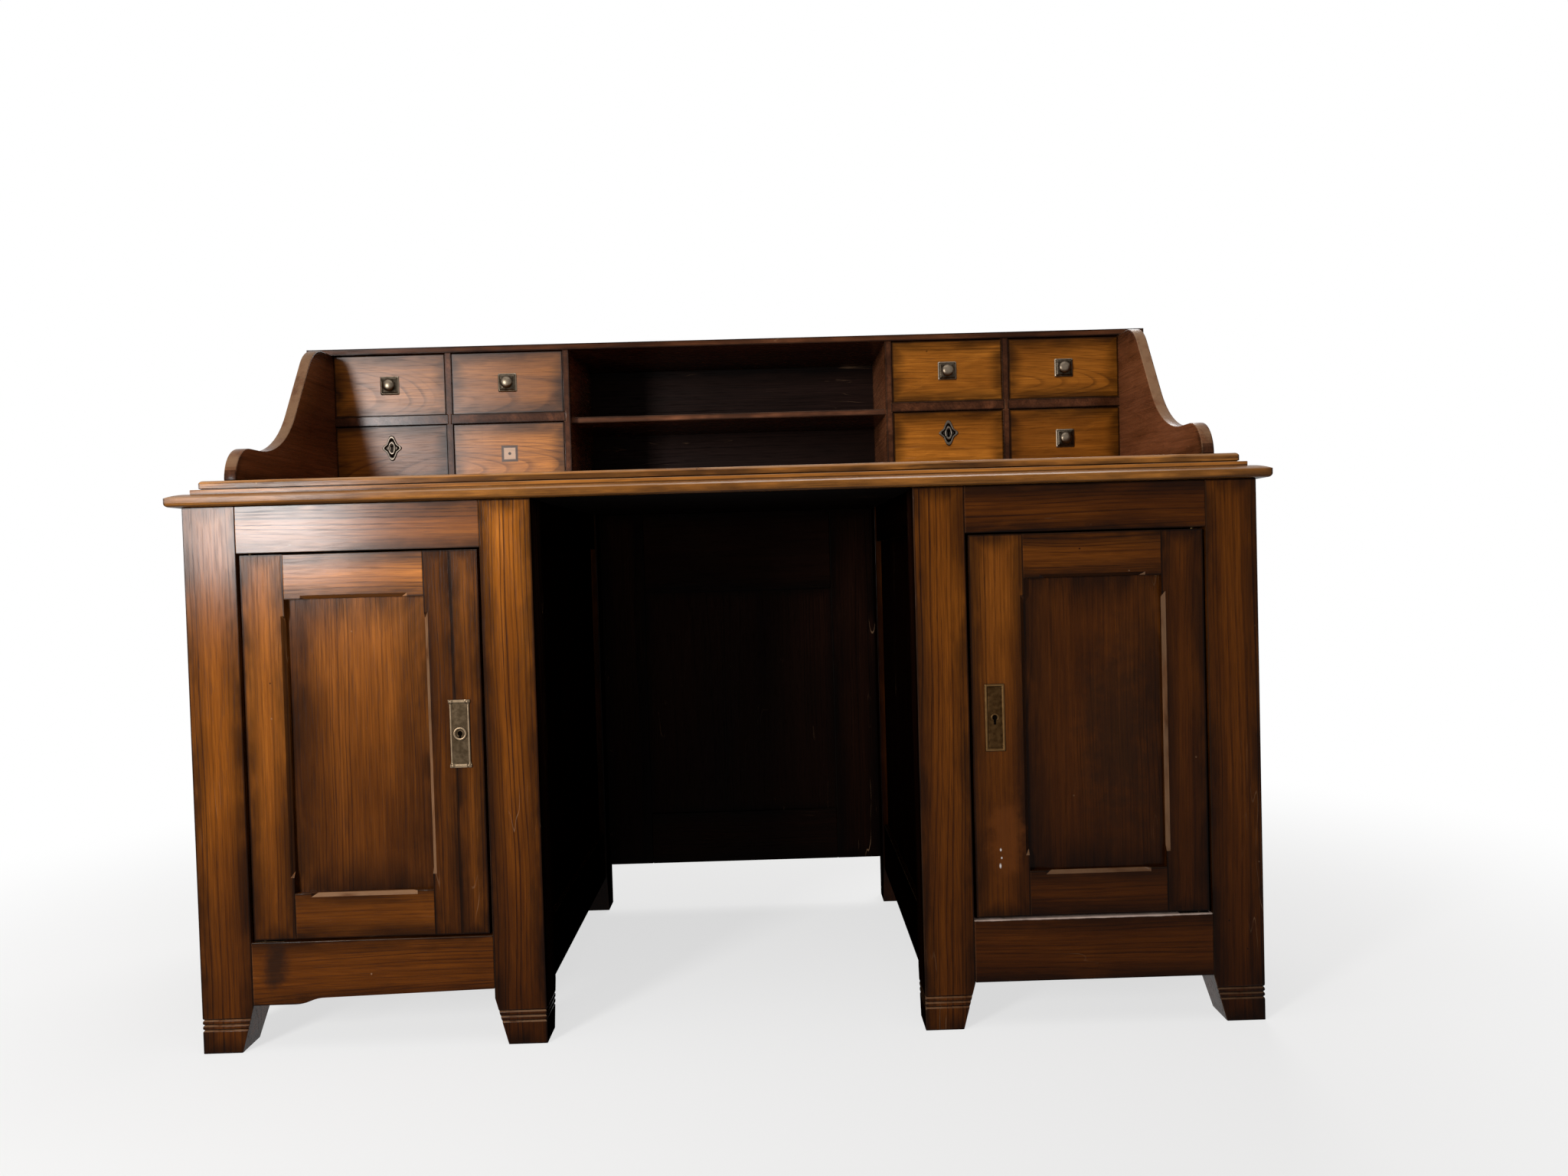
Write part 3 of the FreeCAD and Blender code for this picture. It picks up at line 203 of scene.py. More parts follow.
class Value:
    """A socket of a material's nodes. Sums on values add Math nodes, and node() adds any other node."""

    def __init__(self, tree, socket=None):
        self.tree = tree
        self.socket = socket

    def node(self, kind, settings, sockets, output=0):
        """Adds a node of a kind: its settings come first, then its sockets get their values or links."""
        made = self.tree.nodes.new(kind)
        for name, setting in settings.items():
            setattr(made, name, setting)
        for name, given in sockets.items():
            if isinstance(given, Value):
                self.tree.links.new(given.socket, made.inputs[name])
            else:
                made.inputs[name].default_value = given
        return Value(self.tree, made.outputs[output])

    def other(self, output):
        """Another output of the same node."""
        return Value(self.tree, self.socket.node.outputs[output])

    def attribute(self, name, output="Fac"):
        """One of the mesh's own attributes."""
        return self.node("ShaderNodeAttribute", {"attribute_name": name}, {}, output)

    def place(self):
        """The place in the object's own space."""
        return self.node("ShaderNodeTexCoord", {}, {}, output="Object")

    def parts(self, output=0):
        """One part of a vector, x unless another is asked for; other() gives the rest."""
        return self.node("ShaderNodeSeparateXYZ", {}, {0: self}, output)

    def math(self, operation, *others):
        """A sum of one kind on this value and others."""
        return self.node("ShaderNodeMath", {"operation": operation}, dict(enumerate((self, *others))))

    def __add__(self, number):
        return self.math("ADD", number)

    def __mul__(self, number):
        return self.math("MULTIPLY", number)

    def __sub__(self, number):
        return self.math("SUBTRACT", number)

    def __truediv__(self, number):
        return self.math("DIVIDE", number)

    def __rsub__(self, number):
        return self.node("ShaderNodeMath", {"operation": "SUBTRACT"}, {0: number, 1: self})

    __radd__ = __add__
    __rmul__ = __mul__

    def between(self, start, finish):
        """0 at start and 1 at finish, with a smooth rise; start may be the larger one."""
        return self.node("ShaderNodeMapRange", {"interpolation_type": "SMOOTHSTEP"},
                         {"Value": self, "From Min": start, "From Max": finish})

    def stretched(self, ways):
        """A vector with each of its ways multiplied."""
        return self.node("ShaderNodeVectorMath", {"operation": "MULTIPLY"}, {0: self, 1: ways})

    def speckle(self, detail=2.0, roughness=0.5):
        """Cloudy noise over a vector, about 0.5 in the middle."""
        return self.node("ShaderNodeTexNoise", {}, {"Vector": self, "Scale": 1.0, "Detail": detail,
                                                    "Roughness": roughness})

    def mix(self, one, other):
        """One colour where this value is 0 and the other where it is 1."""
        return self.node("ShaderNodeMix", {"data_type": "RGBA"}, {0: self, 6: one, 7: other}, output=2)

    def towards(self, colour, share):
        """This colour moved towards another by a share."""
        return share.mix(self, colour)

    def feed(self, shader, name):
        """Links this value to one of a shader's sockets."""
        self.tree.links.new(self.socket, shader.inputs[name])

    def shaded(self, factor):
        """This colour made darker or lighter by a factor."""
        return self.node("ShaderNodeVectorMath", {"operation": "SCALE"}, {0: self, "Scale": factor})


def new_material(name):
    """An empty material with its shader, and a value to start expressions from."""
    material = bpy.data.materials.new(name)
    material.use_nodes = True
    return material, material.node_tree.nodes["Principled BSDF"], Value(material.node_tree)


# The wood finish: its marks to the metre along, across and through a board, their limits, its lengths in metres
# and its heights above the floor.
RING_WANDER = (2.2, 9.0, 9.0)
FIGURE_PATCHES = (1.8, 16.0, 16.0)
FIBRES = (14.0, 420.0, 420.0)
PORES = (30.0, 560.0, 560.0)
STREAKS = (4.0, 120.0, 120.0)
CLOUDS = (2.6, 9.0, 9.0)
BLOTCHES = (9.0, 26.0, 26.0)
SCRATCHES = (7.0, 60.0, 60.0)
SCRATCH_SLANT = 0.85
NICKS = 24.0
RING_NOISE = 70.0
LUCK_SHIFT = (7.0, 5.0, 3.0)
LINE_RISE = (0.0, 0.10)
LINE_FALL = (0.46, 0.10)
PORE_LIMITS = (0.54, 0.64)
SCRATCH_LIMITS = (0.010, 0.002)
PALE_NICK, PALE_CHANCE = (0.036, 0.020), (0.72, 0.73)
DARK_NICK, DARK_CHANCE = (0.040, 0.022), (0.16, 0.15)
ARRIS_TURN = (0.985, 0.90)
PITH_DEPTH = 0.030
PITH_SPREAD = 0.05
WANDER_REACH = 0.026
EDGE_DARKENING_END = 0.002
SEAM_EDGE = (0.0026, 0.0012)
BUMP_DEPTH = 0.0005
BUMP_SHARE = 0.35
# Heights: the colour darkens towards the floor below the first, painted shade by gloom falls below the second, and
# the coat rises over the third.
FLOOR_DARKENING_RISE = (0.0, 0.72)
PAINTED_SHADE_FALL = (0.74, 0.42)
COAT_RISE = (0.52, 0.70)
WORN_WOOD = (0.36, 0.21, 0.115)


def stained_wood(name, pale, dark, ring=0.0062, pith=0.10, lean=0.10, figure=1.0, polish=0.16, wear=0.5,
                 edge_darkening_reach=0.030, gloss=0.05, marks=None):
    """Stained ring-porous wood under a worn shellac polish. Growth rings are circles about a pith line that lies
    beside the board and leans along it: ring count = distance from that line / ring width, made uneven by slow
    noise. Each ring opens with a dark line of pores, strong or faint by its own number. Stain gathers in clouds and
    is redder where it is deeper; the colour is darker towards the floor, boards given a gloom get painted shade
    lower down, and it is darker along the edges as far in as the given reach. Faces that turn away from the board's
    ways are rubbed pale where they look up or to the left, real wear with a painted highlight, and get painted
    shade where they look away; faces that look down get painted shade. An attribute paints dust and crease shade
    into the corners of mouldings, boards that kept their polish have a coat on their upper part, and marks, where
    given, change the colour last."""
    material, shader, start = new_material(name)
    spot, half, facing, stain = (start.attribute(word, "Vector") for word in ("spot", "half", "facing", "stain"))
    seed, lit, painted_under_shade, corner = (start.attribute(word) for word in ("seed", "lit", "under", "crease_dirt_and_shade"))
    stain = stain.parts()
    luck = seed.node("ShaderNodeTexWhiteNoise", {"noise_dimensions": "1D"}, {"W": seed}, output="Color")
    luck_one = luck.node("ShaderNodeSeparateColor", {}, {0: luck})
    luck_two, luck_three = luck_one.other(1), luck_one.other(2)
    place = spot.node("ShaderNodeVectorMath", {"operation": "ADD"}, {0: spot, 1: luck.stretched(LUCK_SHIFT)})

    along = spot.parts()
    wander = place.stretched(RING_WANDER).speckle(2.0)
    wander = wander.node("ShaderNodeSeparateColor", {}, {0: wander.other("Color")})
    across = along.other(1) + (0.6 + luck_one * 0.8) * pith + (wander - 0.5) * WANDER_REACH
    beneath = along.other(2) + PITH_DEPTH + luck_two * PITH_SPREAD + along * (luck_three - 0.5) * lean + (
        wander.other(1) - 0.5) * WANDER_REACH
    reach = (across * across + beneath * beneath).math("SQRT")
    uneven = reach.node("ShaderNodeTexNoise", {"noise_dimensions": "1D"},
                        {"W": reach * RING_NOISE + luck_two * 9.0, "Scale": 1.0, "Detail": 1.0})
    count = reach / ring + uneven * 1.8
    phase = count.math("FRACT")
    number = count.math("FLOOR") + luck_one * 40.0
    strength = number.node("ShaderNodeTexWhiteNoise", {"noise_dimensions": "1D"}, {"W": number}, output="Value")
    shown = place.stretched(FIGURE_PATCHES).speckle(2.0).between(0.32, 0.62)
    line = phase.between(*LINE_RISE) * phase.between(*LINE_FALL) * (0.2 + strength * 0.8) * (
        0.35 + shown * 0.65) * figure

    fibre = place.stretched(FIBRES).speckle(3.0, 0.6)
    pores = place.stretched(PORES).speckle(1.0).between(*PORE_LIMITS) * (0.4 + line * 0.6)
    streaks = place.stretched(STREAKS).speckle(2.0, 0.55)
    clouds = place.stretched(CLOUDS).speckle(3.0, 0.6)
    blotches = place.stretched(BLOTCHES).speckle(3.0, 0.65)
    height = start.place().parts(2)
    # Darker towards the floor, and painted shade lower down by the board's gloom.
    tone = stain * (0.80 + luck_three * 0.30) * (clouds * 2.6 - 0.30) * (0.35 + fibre * 1.3) * (
        0.60 + streaks * 0.8) * (0.30 + height.between(*FLOOR_DARKENING_RISE) * 0.70) * (
        1.0 - stain.other(2) * height.between(*PAINTED_SHADE_FALL))
    tone = tone.math("MAXIMUM", 0.01)
    tone = tone.node("ShaderNodeCombineXYZ", {}, {0: tone, 1: tone.math("POWER", 1.12), 2: tone.math("POWER", 1.3)})
    colour = line.mix((*pale, 1), (*dark, 1))
    colour = colour.towards((*[0.45 * part for part in dark], 1), pores * 0.55)
    colour = colour.node("ShaderNodeVectorMath", {"operation": "MULTIPLY"}, {0: colour, 1: tone})

    edge = half.node("ShaderNodeVectorMath", {"operation": "SUBTRACT"}, {
        0: half, 1: spot.node("ShaderNodeVectorMath", {"operation": "ABSOLUTE"}, {0: spot})})
    edge_x = edge.parts()
    edge_y, edge_z = edge_x.other(1), edge_x.other(2)
    edge = edge_x.math("MINIMUM", edge_y).math("MAXIMUM", edge_x.math("MAXIMUM", edge_y).math("MINIMUM", edge_z))
    facing_x = facing.parts()
    squarest = facing_x.math("MAXIMUM", facing_x.other(1)).math("MAXIMUM", facing_x.other(2))
    arris = squarest.between(*ARRIS_TURN)
    # Pale rub only on arrises that look up or to the left: real wear with a painted highlight.
    rubbed = arris * blotches.between(0.30, 0.55) * wear * lit
    # Darker along the edges, with painted shade on arrises that look away from the light and on faces that look
    # down.
    edge_dark_and_painted_shade = edge.between(edge_darkening_reach, EDGE_DARKENING_END) * (0.4 + blotches.between(0.70, 0.40) * 0.6) * (1.0 - arris)
    edge_dark_and_painted_shade = edge_dark_and_painted_shade.math("MAXIMUM", arris * (1.0 - lit)).math("MAXIMUM", painted_under_shade)
    # Dark joint lines, and painted crease shade with dust at the moulding corners.
    seam = (edge.between(*SEAM_EDGE) * (1.0 - rubbed) * 0.7).math("MAXIMUM", corner)
    crossing = place.node("ShaderNodeMapping", {}, {"Vector": place, "Rotation": (0.0, 0.0, SCRATCH_SLANT),
                                                    "Scale": SCRATCHES}).speckle(1.0)
    scratch = (crossing - 0.5).math("ABSOLUTE").between(*SCRATCH_LIMITS) * clouds.between(0.58, 0.68) * (
        blotches.between(0.50, 0.62))
    nick = place.node("ShaderNodeTexVoronoi", {}, {"Vector": place, "Scale": NICKS}, output="Distance")
    chance = nick.node("ShaderNodeSeparateColor", {}, {0: nick.other("Color")})
    pale_nick = nick.between(*PALE_NICK) * chance.between(*PALE_CHANCE) * wear
    dark_nick = nick.between(*DARK_NICK) * chance.between(*DARK_CHANCE)
    worn = start.node("ShaderNodeRGB", {}, {})
    worn.socket.default_value = (*WORN_WOOD, 1)
    worn = worn.shaded(0.25 + stain * 0.75)
    colour = colour.shaded((1.0 - edge_dark_and_painted_shade * 0.76) * (1.0 - seam)).towards(worn, rubbed * (0.75 - corner * 0.7))
    colour = colour.towards(worn, scratch * 0.5 + pale_nick * 0.7)
    colour = colour.shaded(1.0 - dark_nick * 0.85)
    if marks:
        colour = marks(spot, colour)

    colour.feed(shader, "Base Color")
    roughness = polish + blotches * 0.10 + pores * 0.30 + line * 0.08 + rubbed * 0.14
    roughness.feed(shader, "Roughness")
    coat = stain.other(1) * height.between(*COAT_RISE) * (0.72 + blotches * 0.36) * (1.0 - pores * 0.3) * (
        1.0 - line * 0.2) * (1.0 - edge_dark_and_painted_shade * 0.25)
    coat.feed(shader, "Coat Weight")
    shader.inputs["Coat Roughness"].default_value = polish * 1.15
    relief = fibre * 0.15 - pores * 0.6 - line * 0.25 - scratch * 0.5 - pale_nick - dark_nick
    bump = relief.node("ShaderNodeBump", {}, {"Height": relief, "Strength": BUMP_SHARE, "Distance": BUMP_DEPTH})
    bump.feed(shader, "Normal")
    shader.inputs["Specular IOR Level"].default_value = gloss
    return material


def dressed(node, finish, arris, stain=(1.0,)):
    """A CAD node's boards with eased edges and a finish, in the node's place and on its body."""
    name = f"{node}_worked"
    mesh = eased_boards(name, node, arris)
    mark_boards(mesh, stain)
    mesh.materials.append(finish)
    piece = placed(name, mesh)
    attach(piece, frame["nodes"][node]["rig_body"])
    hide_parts(node)
    return piece


def kneehole_shaded(piece):
    """Gives the faces that look into the kneehole the near-black finish of painted shade: those within
    KNEEHOLE_REACH of the middle that turn towards it."""
    mesh = piece.data
    across = gathered(mesh.polygons, "center", 3)[:, 0]
    turned = gathered(mesh.polygons, "normal", 3)[:, 0]
    inside = (np.abs(across) < KNEEHOLE_REACH) & (np.sign(across) * turned < -KNEEHOLE_TURN)
    mesh.materials.append(painted_shade_wood)
    mesh.polygons.foreach_set("material_index", inside.astype(np.int32))


post_wood = stained_wood("post_wood", POST_PALE, POST_DARK, ring=0.0072)
painted_shade_wood = stained_wood("painted_shade_wood", KNEEHOLE_SHADE_PALE, KNEEHOLE_SHADE_DARK, polish=0.6, wear=0.1, gloss=0.0)
for post_node, post_stain_and_shade in POST_STAIN_AND_SHADE.items():
    kneehole_shaded(dressed(post_node, post_wood, POST_ARRIS, stain=post_stain_and_shade))

# Rails: flat boards of the same elm between the posts, tenoned at both ends. The left bottom rail has lost
# part of its lower edge, and the right one has a painted highlight along its upper edge.
RAIL_ARRIS = 0.0015
RAIL_PALE = (0.31, 0.094, 0.011)
RAIL_DARK = (0.040, 0.011, 0.002)
LEFT_RAIL_STAINS = (0.98, (0.60, 0.46))
RIGHT_RAIL_STAINS = (0.46, 0.24)
# The inner side rails' low depth of colour is painted kneehole shade.
SIDE_RAIL_STAIN_AND_SHADE = {"left_side_rails": (0.60, 0.60, 0.14, 0.14), "right_side_rails": (0.14, 0.16, 0.55, 0.55)}
RAIL_PATCH = ((-0.625, 0.118, 0.019, 0.034), (0.010, 0.005, 0.003), 0.80)
# A pale line painted along the right bottom rail's upper edge: a painted highlight.
RAIL_EDGE_HIGHLIGHT = ((0.500, 0.1494, 0.320, 0.0014), (0.56, 0.42, 0.35), 0.80)
PATCH_GRAIN = (45.0, 45.0, 45.0)
PATCH_RAGGED = 1.6
PATCH_FADE = (1.3, 0.2)
FRONT_HALF = (0.001, -0.001)


def patched(*patches):
    """Marks for a finish: patches with ragged edges on the front half of a board. Each is its place (x, z, half its
    width, half its height), its colour and its strength; it reaches as far as the distance from its place, counted
    in half sizes and made ragged by noise, is under 1."""
    def marks(spot, colour):
        place = spot.place()
        ragged = place.stretched(PATCH_GRAIN).speckle(3.0, 0.6) - 0.5
        across = place.parts()
        front = spot.parts(2).between(*FRONT_HALF)
        for (x, z, wide, tall), tint, share in patches:
            aside = (across - x) / wide
            above = (across.other(2) - z) / tall
            away = (aside * aside + above * above).math("SQRT") + ragged * PATCH_RAGGED
            colour = colour.towards((*tint, 1), away.between(*PATCH_FADE) * front * share)
        return colour
    return marks


rail_finish = {"pale": RAIL_PALE, "dark": RAIL_DARK, "ring": 0.0056, "pith": 0.06, "wear": 1.0}
rail_wood = stained_wood("rail_wood", **rail_finish)
patched_rail_wood = stained_wood("patched_rail_wood", marks=patched(RAIL_PATCH), **rail_finish)
dressed("left_front_rails", patched_rail_wood, RAIL_ARRIS, stain=LEFT_RAIL_STAINS)
painted_highlight_rail_wood = stained_wood("painted_highlight_rail_wood", marks=patched(RAIL_EDGE_HIGHLIGHT), **rail_finish)
dressed("right_front_rails", painted_highlight_rail_wood, RAIL_ARRIS, stain=RIGHT_RAIL_STAINS)
for rail_node, rail_stain_and_shade in SIDE_RAIL_STAIN_AND_SHADE.items():
    kneehole_shaded(dressed(rail_node, rail_wood, RAIL_ARRIS, stain=rail_stain_and_shade))

# Side panels: thin flat boards that stand loose in grooves of the posts and rails, on the outside of each
# pedestal and towards the kneehole, where they are painted almost black as shade.
PANEL_ARRIS = 0.0006
SIDE_PALE = (0.28, 0.085, 0.011)
SIDE_DARK = (0.045, 0.012, 0.003)
# The inner panels' low depth of colour is painted kneehole shade.
SIDE_STAIN_AND_SHADE = {"left_outer_panel": 0.62, "left_inner_panel": 0.15, "right_inner_panel": 0.16,
               "right_outer_panel": 0.55}
side_wood = stained_wood("side_panel_wood", SIDE_PALE, SIDE_DARK, ring=0.0066, edge_darkening_reach=0.07)
for panel_node, panel_stain_and_shade in SIDE_STAIN_AND_SHADE.items():
    kneehole_shaded(dressed(panel_node, side_wood, PANEL_ARRIS, stain=(panel_stain_and_shade,)))

# Inner work: back rails and panels, floors, shelves and cleats of plain softwood, browned by age and dust
# and never polished.
INNER_ARRIS = 0.0008
INNER_PALE = (0.33, 0.19, 0.085)
INNER_DARK = (0.20, 0.10, 0.040)
inner_wood = stained_wood("inner_wood", INNER_PALE, INNER_DARK, ring=0.0044, polish=0.62, wear=0.3)
for inner_node in ("back_rails", "back_panels", "pedestal_floors", "pedestal_shelves", "shelf_cleats"):
    dressed(inner_node, inner_wood, INNER_ARRIS)

# Kneehole back: a frame of two stiles and two rails with a flat panel in its groove, fixed between the
# two inner rear posts. Its near-black colour is painted shade, the darkest of the desk.
KNEE_SHADE_PALE = (0.014, 0.0045, 0.002)
KNEE_SHADE_DARK = (0.005, 0.002, 0.001)
knee_shade_wood = stained_wood("kneehole_shade_wood", KNEE_SHADE_PALE, KNEE_SHADE_DARK, polish=0.4, wear=0.1, gloss=0.02)
dressed("kneehole_frame", knee_shade_wood, RAIL_ARRIS)
dressed("kneehole_panel", knee_shade_wood, PANEL_ARRIS)

# Doors: stiles and rails joined by tenons round a flat panel, with stopped chamfers on the front. The left
# door's lock stile is made up with a glued strip.
DOOR_ARRIS = 0.0010
DOOR_PALE = (0.32, 0.100, 0.012)
DOOR_DARK = (0.045, 0.012, 0.003)
DOOR_PANEL_PALE = (0.30, 0.094, 0.013)
DOOR_PANEL_DARK = (0.055, 0.015, 0.003)
# The left panel's third number is painted shade lower down.
DOOR_STAIN_AND_SHADE = {"left": {"stiles": ((0.80, 0.10), 0.56, (0.60, 0.15)), "rails": (0.90, (1.00, 0.40)),
                        "panel": ((1.16, 0.14, 0.46),)},
               "right": {"stiles": (0.62, 0.33), "rails": (0.42, 0.36), "panel": (0.29,)}}
SPECK = (0.80, 0.74, 0.68)
WORN_PATCH = ((0.376, 0.264, 0.026, 0.060), (0.13, 0.036, 0.006), 0.55)
PAINT_SPECKS = (((0.367, 0.245, 0.0014, 0.0022), SPECK, 0.8),
               ((0.368, 0.234, 0.0012, 0.0016), SPECK, 0.8),
               ((0.366, 0.223, 0.0015, 0.0032), SPECK, 0.8))
DARK_PATCH = ((0.532, 0.403, 0.060, 0.150), (0.008, 0.004, 0.002), 0.62)
door_frame = {"pale": DOOR_PALE, "dark": DOOR_DARK, "ring": 0.0058, "figure": 0.8, "wear": 0.75}
door_middle = {"pale": DOOR_PANEL_PALE, "dark": DOOR_PANEL_DARK, "ring": 0.0050, "figure": 0.8, "edge_darkening_reach": 0.075}
door_wood = {"left": stained_wood("left_door_wood", **door_frame),
             "right": stained_wood("right_door_wood", marks=patched(WORN_PATCH, *PAINT_SPECKS), **door_frame)}
panel_wood = {"left": stained_wood("left_panel_wood", **door_middle),
              "right": stained_wood("right_panel_wood", marks=patched(DARK_PATCH), **door_middle)}
for hand, door_stain_and_shade in DOOR_STAIN_AND_SHADE.items():
    dressed(f"{hand}_door_stiles", door_wood[hand], DOOR_ARRIS, stain=door_stain_and_shade["stiles"])
    dressed(f"{hand}_door_rails", door_wood[hand], DOOR_ARRIS, stain=door_stain_and_shade["rails"])
    dressed(f"{hand}_door_panel", panel_wood[hand], PANEL_ARRIS, stain=door_stain_and_shade["panel"])

# Door pivots and locks: brass pins on flanges turn in brass plates let into the rails. The lock cases and
# their bolts are of plain steel, screwed to the backs of the doors; cast brass plates ring the keyholes.
METAL_ARRIS = 0.0003
BRASS_RUBBED = (0.220, 0.155, 0.095)
BRASS_DARK = (0.024, 0.015, 0.007)
BROWNED_RUBBED = (0.130, 0.070, 0.026)
BROWNED_DARK = (0.022, 0.010, 0.003)
STEEL_PALE = (0.27, 0.26, 0.25)
STEEL_DARK = (0.17, 0.155, 0.14)
KEYHOLE_DARK = (0.004, 0.003, 0.002)
TARNISH_LIMITS = (0.34, 0.68)
SCRATCH_DEPTH = 0.0002
PLATE_HALF = 0.0135
PLATE_TALL = 0.0460
PLATE_FIELD = 0.0013
PLATE_EAR = 0.0010
EAR_RISE = (0.038, 0.042)
PLATE_STEPS = 240
PLATE_RINGS = 64
RUBBED_STAND = (0.0012, 0.0026)
KEYHOLE_STAND = 0.0008
KEYHOLE_FLOOR = 0.0002


def aged_metal(name, bright, dark, roughness, grain=140.0, relief=0.0):
    """Old metal: dark tarnish over brighter metal, with fine scratches. The tarnish is cloudy by noise in the
    object's place and, by the share relief, rubbed off where the raised attribute says."""
    material, shader, start = new_material(name)
    place = start.place()
    tarnish = place.stretched((grain, grain, grain)).speckle(4.0, 0.65)
    fine = place.stretched((grain * 9, grain * 2, grain * 9)).speckle(2.0)
    share = tarnish.between(*TARNISH_LIMITS) * (1 - relief) + start.attribute("raised") * relief
    colour = share.mix((*dark, 1), (*bright, 1)).shaded(0.85 + fine * 0.3)
    colour.feed(shader, "Base Color")
    (roughness + tarnish * 0.22).feed(shader, "Roughness")
    bump = fine.node("ShaderNodeBump", {}, {"Height": fine + tarnish, "Strength": 0.12, "Distance": SCRATCH_DEPTH})
    bump.feed(shader, "Normal")
    shader.inputs["Metallic"].default_value = 1.0
    return material


def ramp(values, start, finish):
    """0 at start and 1 at finish with a straight rise between; start may be the larger one."""
    return np.clip((values - start) / (finish - start), 0, 1)


def bead(distance, half):
    """The round top of a bead, 1 high at its middle and 0 at half its width."""
    return np.sqrt(np.clip(1 - (distance / half) ** 2, 0, 1))


def keyhole(across, up, radius, slot, drop):
    """True within a round hole at the middle and the slot below it."""
    return (np.hypot(across, up) < radius) | ((np.abs(across) < slot) & (up < 0) & (up > -drop))


def ring_mesh(name, grid, raised):
    """A mesh of rings of points, each joined to the next by four-sided faces, with the raised attribute. Gives
    back the faces too."""
    ids = np.arange(grid.shape[0] * grid.shape[1]).reshape(grid.shape[:2])
    following = np.roll(ids, -1, axis=1)
    faces = np.stack([ids[:-1], following[:-1], following[1:], ids[1:]], axis=-1).reshape(-1, 4)
    mesh = bpy.data.meshes.new(name)
    mesh.from_pydata(grid.reshape(-1, 3).tolist(), [], faces.tolist())
    mesh.attributes.new("raised", "FLOAT", "POINT").data.foreach_set("value", raised.astype(np.float32).ravel())
    return mesh, faces


def closed_up(mesh):
    """Welds the rings that have no size, turns all faces outwards and smooths what is not an edge."""
    shape = bmesh.new()
    shape.from_mesh(mesh)
    bmesh.ops.remove_doubles(shape, verts=shape.verts, dist=WELD_STEP)
    bmesh.ops.recalc_face_normals(shape, faces=shape.faces)
    shape.to_mesh(mesh)
    shape.free()
    mesh.shade_smooth()
    mesh.set_sharp_from_angle(angle=SMOOTH_EDGE)


def relief_plate(name, outline, shares, stand, middle, finish):
    """A cast plate as a closed surface on the grid (share, place along the outline): the point share * outline
    stands out from the wood by stand(across, up), and two more rings at the wood's face close the back. What
    stands out less than KEYHOLE_STAND is the keyhole, in shadow. Middle is the keyhole's place on the wood."""
    shares = np.concatenate([shares, [1.0, 0.0]])
    across, up = shares[:, None] * outline[:, 0], shares[:, None] * outline[:, 1]
    out = stand(across, up)
    out[-2:] = 0.0
    grid = np.stack([across, -out, up], axis=-1) + np.array(middle)
    mesh, faces = ring_mesh(name, grid, ramp(out, *RUBBED_STAND))
    deep = out.ravel()[faces].mean(axis=1) < KEYHOLE_STAND
    deep[-2 * out.shape[1]:] = False
    mesh.materials.append(finish)
    mesh.materials.append(keyhole_shadow)
    mesh.polygons.foreach_set("material_index", deep.astype(np.int32))
    closed_up(mesh)
    return placed(name, mesh)


def studded_plate(across, up):
    """How far the left plate stands out: a field with beaded long edges and grooves beside them, barred ends with
    a stud at each corner, and a round ring about the keyhole."""
    rim, groove, bar, stud, ring = 0.0011, 0.0007, 0.0010, 0.0034, 0.0021
    rim_half, groove_half, stud_half, ring_half = 0.0016, 0.0012, 0.0029, 0.0019
    groove_in, stud_in, stud_down, ring_radius = 0.0044, 0.0024, 0.0026, 0.0076
    side, end = PLATE_HALF - np.abs(across), PLATE_TALL - np.abs(up)
    away = np.hypot(across, up)
    studs = np.hypot(side - stud_in, end - stud_down)
    out = PLATE_FIELD + rim * bead(side - rim_half, rim_half) + bar * ramp(end, 0.0050, 0.0040)
    out -= groove * bead(side - groove_in, groove_half) * ramp(end, 0.0040, 0.0055)
    out = np.maximum(out, PLATE_FIELD + stud * bead(studs, stud_half))
    out += ring * bead(away - ring_radius, ring_half)
    return np.where(keyhole(across, up, radius=0.0032, slot=0.0013, drop=0.0056), KEYHOLE_FLOOR, out)


def framed_plate(across, up):
    """How far the right plate stands out: a field inside a plain raised frame with a groove along it, and a thin
    rim, open below, about the keyhole."""
    frame_stand, frame_half, groove, groove_in, groove_half = 0.0012, 0.0018, 0.0005, 0.0046, 0.0010
    rim, rim_radius, rim_half = 0.0009, 0.0046, 0.0010
    inside = np.minimum(PLATE_HALF - np.abs(across), PLATE_TALL - np.abs(up))
    out = PLATE_FIELD + frame_stand * bead(inside - frame_half, frame_half)
    out -= groove * bead(inside - groove_in, groove_half)
    out += rim * bead(np.hypot(across, up) - rim_radius, rim_half) * ramp(up, -0.0035, -0.0025)
    return np.where(keyhole(across, up, radius=0.0030, slot=0.0015, drop=0.0090), KEYHOLE_FLOOR, out)


brass = aged_metal("dark_brass", BRASS_RUBBED, BRASS_DARK, 0.26, relief=0.85)
browned_brass = aged_metal("browned_brass", BROWNED_RUBBED, BROWNED_DARK, 0.30, relief=0.75)
steel = aged_metal("lock_steel", STEEL_PALE, STEEL_DARK, 0.40, grain=45.0)
keyhole_shadow = aged_metal("keyhole_shadow", KEYHOLE_DARK, tuple(0.5 * dark for dark in KEYHOLE_DARK), 0.7)
for socket_name in ("Metallic", "Specular IOR Level"):
    keyhole_shadow.node_tree.nodes["Principled BSDF"].inputs[socket_name].default_value = 0.0
dressed("pivot_plates", brass, METAL_ARRIS)
plate_corners = np.array([(1, -1), (1, 1), (-1, 1), (-1, -1), (1, -1)]) * (PLATE_HALF, PLATE_TALL)
plate_run = np.concatenate([[0], np.cumsum(np.hypot(*np.diff(plate_corners, axis=0).T))])
plate_steps = np.linspace(0, plate_run[-1], PLATE_STEPS, endpoint=False)
